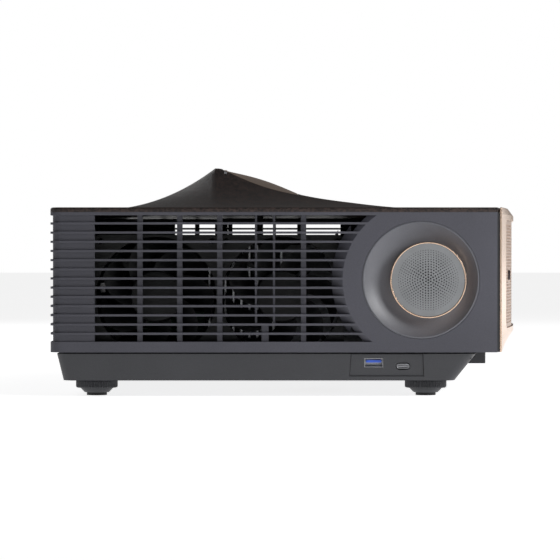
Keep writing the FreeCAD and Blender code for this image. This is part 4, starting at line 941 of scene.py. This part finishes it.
@dataclass
class Speaker(SubAssembly):
    """Concave dish with a gold ring and a disc whose holes shrink towards its edge."""

    side: Side = Side.RIGHT
    rings: int = 12
    centre_hole: float = 0.66
    edge_hole: float = 0.31
    first_pitch: float = 2.08
    last_pitch: float = 1.6
    disc_thickness: float = 1.0
    ring_wall: float = 1.1
    dish_depth: float = 8.0
    dish_rim: float = 42.95
    dish_power: float = 1.9
    dish_steps: int = 128
    dish_levels: int = 26
    lip: float = 1.2
    edge: float = 0.1
    ring_clearance: float = 0.05
    flange: float = 4.0
    disc_setback: float = 0.4

    def build(self) -> list[bpy.types.Object]:
        """Make the dish, the ring and the disc, and dress what is behind them."""
        name = self.side.name.lower()
        pieces = [self.dish(name), self.ring(name), self.disc(name)]
        pieces += self.dress(BLACK_ABS, f"{name}_speaker_basket")
        pieces += self.dress(CONE_PAPER, f"{name}_speaker_cone")
        return pieces

    def face(self, depth: float) -> float:
        """X of a point some way under the side of the case."""
        return self.side.value * (box_mm("left_side_panel")[1][0] - depth)

    def middle(self, node: str) -> tuple[float, float, float]:
        """Y, Z and radius of a round CAD node."""
        low, high = box_mm(node)
        return (low[1] + high[1]) / 2, (low[2] + high[2]) / 2, (high[2] - low[2]) / 2

    def dish(self, name: str) -> bpy.types.Object:
        """Eccentric bowl, from a round rim down to the ring, with a flange behind."""
        ring_y, ring_z, ring_radius = self.middle(f"{name}_speaker_ring")
        low, high = box_mm(f"{name}_speaker_dish")
        rim_y, rim_z = (low[1] + high[1]) / 2, (low[2] + high[2]) / 2
        rim, edge, levels = self.dish_rim, self.edge, self.dish_levels
        inner = ring_radius + self.ring_clearance
        loops = [(rim, 3.0, 0.0), (rim, 0.5, 0.0), (rim - 0.12, 0.2, 0.0), (rim - 0.4, edge, 0.0)]
        loops += [(rim - self.lip, edge, 0.0)]
        for level in range(1, levels + 1):
            share = level / levels
            radius = (rim - self.lip) + (inner - rim + self.lip) * share
            fall = 1 - (1 - share) ** self.dish_power
            loops.append((radius, edge + (self.dish_depth - edge) * fall, share))
        loops += [(inner, self.dish_depth + 2.5, 1.0), (rim, self.dish_depth + 2.5, 0.0)]
        loops += [(rim + self.flange, 5.6, 0.0), (rim + self.flange, 3.2, 0.0), (rim, 3.0, 0.0)]
        points = []
        for radius, depth, share in loops:
            y = rim_y + (ring_y - rim_y) * share
            z = rim_z + (ring_z - rim_z) * share
            for step in range(self.dish_steps):
                turn = 2 * math.pi * step / self.dish_steps
                points.append((self.face(depth), y + radius * math.cos(turn), z + radius * math.sin(turn)))
        faces = grid_faces(len(loops), self.dish_steps, closed=True)
        piece = make_mesh(f"{name}_dish_bowl", points, faces)
        tidy(piece)
        return self.fit(piece, DISH_ABS, "root", "dish_plastic", f"{name}_speaker_dish")

    def ring(self, name: str) -> bpy.types.Object:
        """Polished gold ring with rounded front edges."""
        y, z, radius = self.middle(f"{name}_speaker_ring")
        inner = radius - self.ring_wall
        profile = [(radius, self.dish_depth), (radius, 0.35), (radius - 0.12, 0.1), (radius - 0.4, 0.0)]
        profile += [(inner + 0.3, 0.0), (inner + 0.08, 0.1), (inner, 0.3), (inner, self.dish_depth)]
        profile += [(radius, self.dish_depth)]
        placed = [(reach, self.face(depth)) for reach, depth in profile]
        piece = turned(f"{name}_ring_band", placed, Way.ALONG_X, (0.0, y, z), 128)
        return self.fit(piece, ROSE_GOLD, "root", "gold_trim", f"{name}_speaker_ring")

    def disc(self, name: str) -> bpy.types.Object:
        """Disc whose rings have six more holes each time, smaller and closer towards the edge."""
        y, z, radius = self.middle(f"{name}_speaker_grille")
        holes = [Hole((0.0, 0.0), self.centre_hole, 12)]
        reach = 0.0
        for ring in range(1, self.rings + 1):
            share = ring / self.rings
            reach += self.first_pitch + (self.last_pitch - self.first_pitch) * share
            size = self.centre_hole + (self.edge_hole - self.centre_hole) * share
            for number in range(6 * ring):
                turn = math.pi / 2 + 2 * math.pi * number / (6 * ring)
                holes.append(Hole((reach * math.cos(turn), reach * math.sin(turn)), size, 10))

        def bend(across: float, up: float, depth: float) -> Point:
            """Stand the disc up just under the side of the case."""
            return self.face(self.disc_setback + depth), y - self.side.value * across, z + up

        piece = perforated(f"{name}_disc", circle((0, 0), radius, 96), [], holes, bend, self.disc_thickness)
        return self.fit(piece, GRILLE_PAINT, "root", "speaker_mesh", f"{name}_speaker_grille")


@dataclass
class Front(SubAssembly):
    """Gold trim round a perforated sheet, the dark window, the collar and the chin bar."""

    pitch: float = 2.7
    hole: float = 0.85
    thickness: float = 1.0
    depth: float = 1.4
    bow: float = 23.3
    border: float = 3.0
    window_border: float = 2.0
    slack: float = 0.2
    span: int = 60

    def build(self) -> list[bpy.types.Object]:
        """Make the perforated sheet and dress the rest."""
        trim = self.dress(ROSE_GOLD, "front_bezel", "lens_collar")
        dark = self.dress(BLACK_ABS, "front_frame")
        chin = self.dress(CHIN_ABS, "front_chin")
        eye = self.dress(EYE_ACRYLIC, "front_ir_window")
        return [self.sheet(), *trim, *dark, *chin, *eye]

    def face_line(self, x: float) -> float:
        """Y of the bowed face of the trim."""
        low, high = box_mm("front_bezel")
        half = high[0]
        radius = (half**2 + self.bow**2) / (2 * self.bow)
        return low[1] + radius - math.sqrt(radius**2 - x**2)

    def sheet(self) -> bpy.types.Object:
        """Sheet with staggered rows of holes, kept clear of its edges and openings."""
        low, high = box_mm("front_grille")
        eye_low, eye_high = box_mm("front_ir_window")
        collar_low, collar_high = box_mm("lens_collar")
        lens = ((collar_low[0] + collar_high[0]) / 2, (collar_low[2] + collar_high[2]) / 2)
        lens_edge = (collar_high[0] - collar_low[0]) / 2 + self.slack
        window_low = (eye_low[0] - self.window_border, eye_low[2] - self.window_border)
        window_high = (eye_high[0] + self.window_border, eye_high[2] + self.window_border)
        holes = []
        row_pitch = self.pitch * math.sqrt(3) / 2
        rows = int((high[2] - low[2] - 2 * self.border) / row_pitch)
        start = (high[2] + low[2] - rows * row_pitch) / 2
        columns = int((high[0] - self.border) / self.pitch)
        for row in range(rows + 1):
            z = start + row * row_pitch
            for column in range(-columns, columns + 1):
                x = (column + 0.5 * (row % 2)) * self.pitch
                if abs(x) > high[0] - self.border or math.dist((x, z), lens) < lens_edge + self.border:
                    continue
                if window_low[0] < x < window_high[0] and window_low[1] < z < window_high[1]:
                    continue
                holes.append(Hole((x, z), self.hole, 8))
        width, slack = high[0] - low[0], self.slack
        edge = [(low[0] + width * i / self.span, low[2]) for i in range(self.span + 1)]
        edge += [(high[0] - width * i / self.span, high[2]) for i in range(self.span + 1)]
        window = oblong((eye_low[0] - slack, eye_low[2] - slack), (eye_high[0] + slack, eye_high[2] + slack))
        openings = [window, circle(lens, lens_edge, 128)]

        def bend(across: float, up: float, depth: float) -> Point:
            """Lay the sheet behind the bowed face of the trim."""
            return across, self.face_line(across) + self.depth + depth, up

        piece = perforated("front_mesh", edge, openings, holes, bend, self.thickness)
        return self.fit(piece, MESH_GOLD, "root", "gold_mesh", "front_grille")


@dataclass
class Optics(SubAssembly):
    """Lens, its rings and shift stage, and the light engine behind."""

    def build(self) -> list[bpy.types.Object]:
        """Make the ribbed rings and dress the rest."""
        rings = [self.ribbed("focus_ring", "focus"), self.ribbed("zoom_ring", "zoom")]
        black = self.dress(BLACK_ABS, "lens_barrel")
        glass = self.dress(LENS_GLASS, "front_lens")
        cast = self.dress(CAST_ALUMINIUM, "light_engine", "lens_shift_base", "lens_shift_slide")
        sink = self.dress(BARE_ALUMINIUM, "led_heatsink")
        return rings + black + glass + cast + sink

    def ribbed(self, node: str, body: str) -> bpy.types.Object:
        """Ring with ribs all round for the fingers."""
        low, high = box_mm(node)
        radius = (high[0] - low[0]) / 2
        centre = ((low[0] + high[0]) / 2, 0.0, (low[2] + high[2]) / 2)
        inner, shoulder = radius - 2.6, radius - 0.9
        step_in, rib_end = 1.2, 2.0
        profile = [(inner, low[1]), (shoulder, low[1]), (shoulder, low[1] + step_in)]
        profile += [(radius, low[1] + rib_end), (radius, high[1] - rib_end)]
        profile += [(shoulder, high[1] - step_in), (shoulder, high[1])]
        profile += [(inner, high[1]), (inner, low[1])]
        piece = turned(f"{node}_grip", profile, Way.ALONG_Y, centre, 216, ribs(radius, 0.7))
        return self.fit(piece, BLACK_ABS, body, "black_plastic", node)


@dataclass
class Foot(SubAssembly):
    """Screw foot: a knurled disc on its stud over a cone, with a rubber pad."""

    end: str = "front"
    side: Side = Side.RIGHT
    disc_low: float = 5.6
    disc_high: float = 11.3
    chamfer: float = 0.7
    stud: float = 3.9
    root: float = 3.4
    thread: float = 0.5
    pitch: float = 1.25

    def build(self) -> list[bpy.types.Object]:
        """Make the screw and dress its pad."""
        name = f"{self.end}_{self.side.name.lower()}"
        low, high = box_mm(f"foot_screw_{name}")
        centre = ((low[0] + high[0]) / 2, (low[1] + high[1]) / 2, 0.0)
        radius = (high[0] - low[0]) / 2
        stud, root, foot, thread = self.stud, self.root, low[2], self.stud - self.thread
        rim_low, rim_high = self.disc_low + self.chamfer, self.disc_high - self.chamfer
        profile = [(root, foot), (radius - 6.5, foot), (radius - 6.1, foot + 0.3), (radius - 3.6, 5.0)]
        profile += [(radius - 3.4, self.disc_low), (radius - self.chamfer, self.disc_low), (radius, rim_low)]
        profile += [(radius, rim_high), (radius - self.chamfer, self.disc_high), (stud, self.disc_high)]
        place = self.disc_high
        while place + self.pitch < high[2]:
            profile += [(stud, place + 0.25 * self.pitch), (thread, place + 0.75 * self.pitch)]
            place += self.pitch
        profile += [(thread, high[2]), (0.0, high[2]), (0.0, self.disc_low)]
        profile += [(root, self.disc_low), (root, foot)]
        piece = turned(f"foot_{name}_knob", profile, Way.ALONG_Z, centre, 192, ribs(radius, 0.6))
        self.fit(piece, FOOT_NYLON, f"foot_{name}_turn", "foot_plastic", f"foot_screw_{name}")
        return [piece, *self.dress(PAD_RUBBER, f"foot_pad_{name}")]


@dataclass
class Cooling(SubAssembly):
    """Fans with curved blades in their square frames."""

    blades: int = 7
    stations: int = 7
    chord: int = 9
    hub: float = 19.0
    hub_depth: float = 19.0
    hub_steps: int = 64
    tip: float = 42.4
    overlap: float = 0.5
    sweep: float = 38.0
    sweep_power: float = 1.4
    width: float = 40.0
    taper: float = 4.0
    blade_start: float = 3.0
    blade_depth: float = 13.5
    blade_power: float = 1.25
    half_thickness: float = 0.6

    def build(self) -> list[bpy.types.Object]:
        """Make the rotors and dress the frames."""
        frames = self.dress(FAN_PBT, "fan_frame_right_rear", "fan_frame_right_front", "fan_frame_left")
        fans = (("right_rear", Side.RIGHT), ("right_front", Side.RIGHT), ("left", Side.LEFT))
        return frames + [self.rotor(name, side) for name, side in fans]

    def rotor(self, name: str, side: Side) -> bpy.types.Object:
        """Hub with twisted, swept blades."""
        node = f"fan_rotor_{name}"
        low, high = box_mm(node)
        y, z = (low[1] + high[1]) / 2, (low[2] + high[2]) / 2
        near = low[0] if side is Side.RIGHT else high[0]

        def place(reach: float, turn: float, depth: float) -> Point:
            """Point at some radius and turn, some way in from the outer end of the hub."""
            return near - side.value * depth, y + reach * math.cos(turn), z + reach * math.sin(turn)

        hub, steps = self.hub, self.hub_steps
        hub_profile = [(0.0, 0.0), (hub - 2, 0.0), (hub - 0.6, 0.5), (hub, 2.0)]
        hub_profile += [(hub, self.hub_depth), (0.0, self.hub_depth)]
        points = [place(r, 2 * math.pi * s / steps, d) for r, d in hub_profile for s in range(steps)]
        faces = grid_faces(len(hub_profile), steps, closed=True)
        rows, columns = self.stations + 1, self.chord + 1
        size, rim = rows * columns, rim_loop(rows, columns)
        for blade in range(self.blades):
            for skin in (-self.half_thickness, self.half_thickness):
                faces += grid_faces(rows, columns, len(points))
                points += [
                    place(*self.blade_spot(blade, station / self.stations, cut / self.chord, skin))
                    for station in range(rows) for cut in range(columns)
                ]
            start = len(points) - size
            for a, b in zip(rim, rim[1:] + rim[:1]):
                faces.append((start + a, start + b, start - size + b, start - size + a))
        piece = make_mesh(f"{node}_impeller", points, faces)
        tidy(piece)
        return self.fit(piece, FAN_PBT, f"rotor_{name}", "black_plastic", node)

    def blade_spot(self, blade: int, share: float, run: float, skin: float) -> Point:
        """Radius, turn and depth of a point of a blade.

        Args:
            blade: Number of the blade.
            share: How far out it is, from 0 at the hub to 1 at the tip.
            run: How far along the chord it is.
            skin: Distance from the middle of the blade's thickness.

        Returns:
            Radius, turn in radians, and depth.
        """
        reach = self.hub - self.overlap + (self.tip - self.hub + self.overlap) * share
        lean = math.radians(self.sweep) * share**self.sweep_power
        width = math.radians(self.width - self.taper * share)
        turn = 2 * math.pi * blade / self.blades + lean + width * (run - 0.5)
        return reach, turn, self.blade_start + self.blade_depth * (run**self.blade_power) + skin


@dataclass
class AirGuide(SubAssembly):
    """Folded black sheet that parts the intake of the right fans from the outlet of the left one.

    It runs beside the light engine, steps outwards behind the power supply, and goes on past the main board.
    A slot near its top lets the air over the engine through.
    """

    beside_engine: float = 62.0
    beside_board: float = 110.0
    front: float = -100.0
    step: float = 58.0
    rear: float = 157.0
    low: float = 34.0
    slot_low: float = 120.2
    slot_high: float = 130.4
    slot_front: float = -42.0
    slot_rear: float = 98.0
    slot_margin: float = 6.0
    gap: float = 0.8
    sheet: float = 1.5

    def build(self) -> list[bpy.types.Object]:
        """Make the two slotted walls and the step between them."""
        top = box_mm("right_side_panel")[1][2] - self.gap
        front_slot = (self.slot_front, self.step - self.slot_margin)
        rear_slot = (self.step + self.slot_margin, self.slot_rear)

        def fold(across: float, up: float, depth: float) -> Point:
            """Stand the step up across the case."""
            return across, self.step + depth, up

        outline = oblong((self.beside_engine, self.low), (self.beside_board, top))
        panels = [
            self.panel("air_guide_front", self.beside_engine, (self.front, self.step), front_slot, top),
            self.panel("air_guide_rear", self.beside_board, (self.step, self.rear), rear_slot, top),
            perforated("air_guide_step", outline, [], [], fold, self.sheet),
        ]
        for piece in panels:
            self.fit(piece, BLACK_ABS, "root", "black_plastic")
        return panels

    def panel(self, name: str, x: float, span: Flat, slot: Flat, top: float) -> bpy.types.Object:
        """Wall along the case with a slot near its top."""

        def stand(along: float, up: float, depth: float) -> Point:
            """Stand the wall up along the case."""
            return x + depth, along, up

        outline = oblong((span[0], self.low), (span[1], top))
        opening = oblong((slot[0], self.slot_low), (slot[1], self.slot_high))
        return perforated(name, outline, [opening], [], stand, self.sheet)


@dataclass
class Connectors(SubAssembly):
    """Side ports, rear sockets, mains inlet, keys and boards."""

    def build(self) -> list[bpy.types.Object]:
        """Dress the connectors."""
        steel = self.dress(PLATED_STEEL, "usb_a_socket", "usb_c_socket")
        blue = self.dress(BLUE_PBT, "usb_a_tongue")
        black = self.dress(BLACK_ABS, "io_sockets", "ac_inlet", "power_button", "source_key", "menu_key")
        boards = self.dress(BOARD_MASK, "main_board", "power_supply_board")
        return steel + blue + black + boards


@dataclass
class Studio:
    """Pale floor, soft light and the camera."""

    shop: PaintShop
    floor_half: float = 12.0
    camera_distance: float = 1.824
    camera_y: float = 0.00845
    camera_z: float = 0.1048
    aim_z: float = 0.0858
    focal: float = 160.6
    ambient: float = 0.1

    def build(self) -> None:
        """Set up the floor, the lights, the world and the camera."""
        half = self.floor_half / MM
        corners = [(-half, -half, 0.0), (half, -half, 0.0), (half, half, 0.0), (-half, half, 0.0)]
        floor = make_mesh("studio_floor", corners, [(0, 1, 2, 3)])
        self.shop.coat(floor, FLOOR_PAPER)
        self.softbox("key", (-0.5, -0.6, 0.34), (-0.2, -0.1, 0.09), 0.3, 3.2)
        self.softbox("front", (1.5, -1.15, 0.35), (0.0, -0.17, 0.09), 0.9, 2.0)
        self.softbox("top", (-0.9, -0.9, 1.5), (0.0, 0.0, 0.1), 1.0, 3.0)
        self.softbox("far_fill", (1.2, 0.9, 0.8), (0.0, 0.0, 0.1), 0.8, 5.0)
        self.world()
        self.camera()

    def softbox(self, name: str, place: Point, aim: Point, size: float, watts: float) -> None:
        """Square soft light, aimed at a point."""
        data = bpy.data.lights.new(name, "AREA")
        data.size = size
        data.energy = watts
        lamp = bpy.data.objects.new(name, data)
        lamp.location = place
        lamp.rotation_euler = (Vector(aim) - Vector(place)).to_track_quat("-Z", "Y").to_euler()
        bpy.context.scene.collection.objects.link(lamp)

    def world(self) -> None:
        """White surroundings that light the object less than they show."""
        world = bpy.data.worlds.new("studio_white")
        world.use_nodes = True
        tree = world.node_tree
        tree.nodes.clear()
        seen = add_node(tree, "ShaderNodeLightPath").outputs["Is Camera Ray"]
        strength = add_node(tree, "ShaderNodeMapRange", Value=seen, To_Min=self.ambient, To_Max=1.0)
        white = linear("#ffffff")
        sky = add_node(tree, "ShaderNodeBackground", Color=white, Strength=strength.outputs["Result"])
        output = add_node(tree, "ShaderNodeOutputWorld")
        tree.links.new(sky.outputs["Background"], output.inputs["Surface"])
        bpy.context.scene.world = world

    def camera(self) -> None:
        """Camera level with the middle of the right side, far off, with a long lens."""
        edge = -box_mm("left_side_panel")[1][0] * MM
        data = bpy.data.cameras.new("camera")
        data.lens = self.focal
        data.sensor_width = 36.0
        camera = bpy.data.objects.new("camera", data)
        place = Vector((edge - self.camera_distance, self.camera_y, self.camera_z))
        camera.location = place
        aim = Vector((edge, self.camera_y, self.aim_z))
        camera.rotation_euler = (aim - place).to_track_quat("-Z", "Y").to_euler()
        bpy.context.scene.collection.objects.link(camera)
        bpy.context.scene.camera = camera
        bpy.context.scene.view_settings.view_transform = "Standard"


def main() -> None:
    """Build the stage and every sub-assembly in order."""
    logging.basicConfig(level=logging.INFO, format="%(name)s: %(message)s")
    shop = PaintShop()
    Studio(shop).build()
    nodes = frame["nodes"]
    parts: list[SubAssembly] = [
        SidePanels(shop, nodes), TopCover(shop, nodes), Front(shop, nodes), Optics(shop, nodes),
        Cooling(shop, nodes), AirGuide(shop, nodes), Connectors(shop, nodes),
    ]
    parts += [Speaker(shop, nodes, side=side) for side in Side]
    parts += [Foot(shop, nodes, end=end, side=side) for end in ("front", "rear") for side in Side]
    for part in parts:
        for piece in part.build():
            LOG.info("%s: %s, %d faces", type(part).__name__, piece.name, len(piece.data.polygons))


if __name__ == "__main__":
    main()
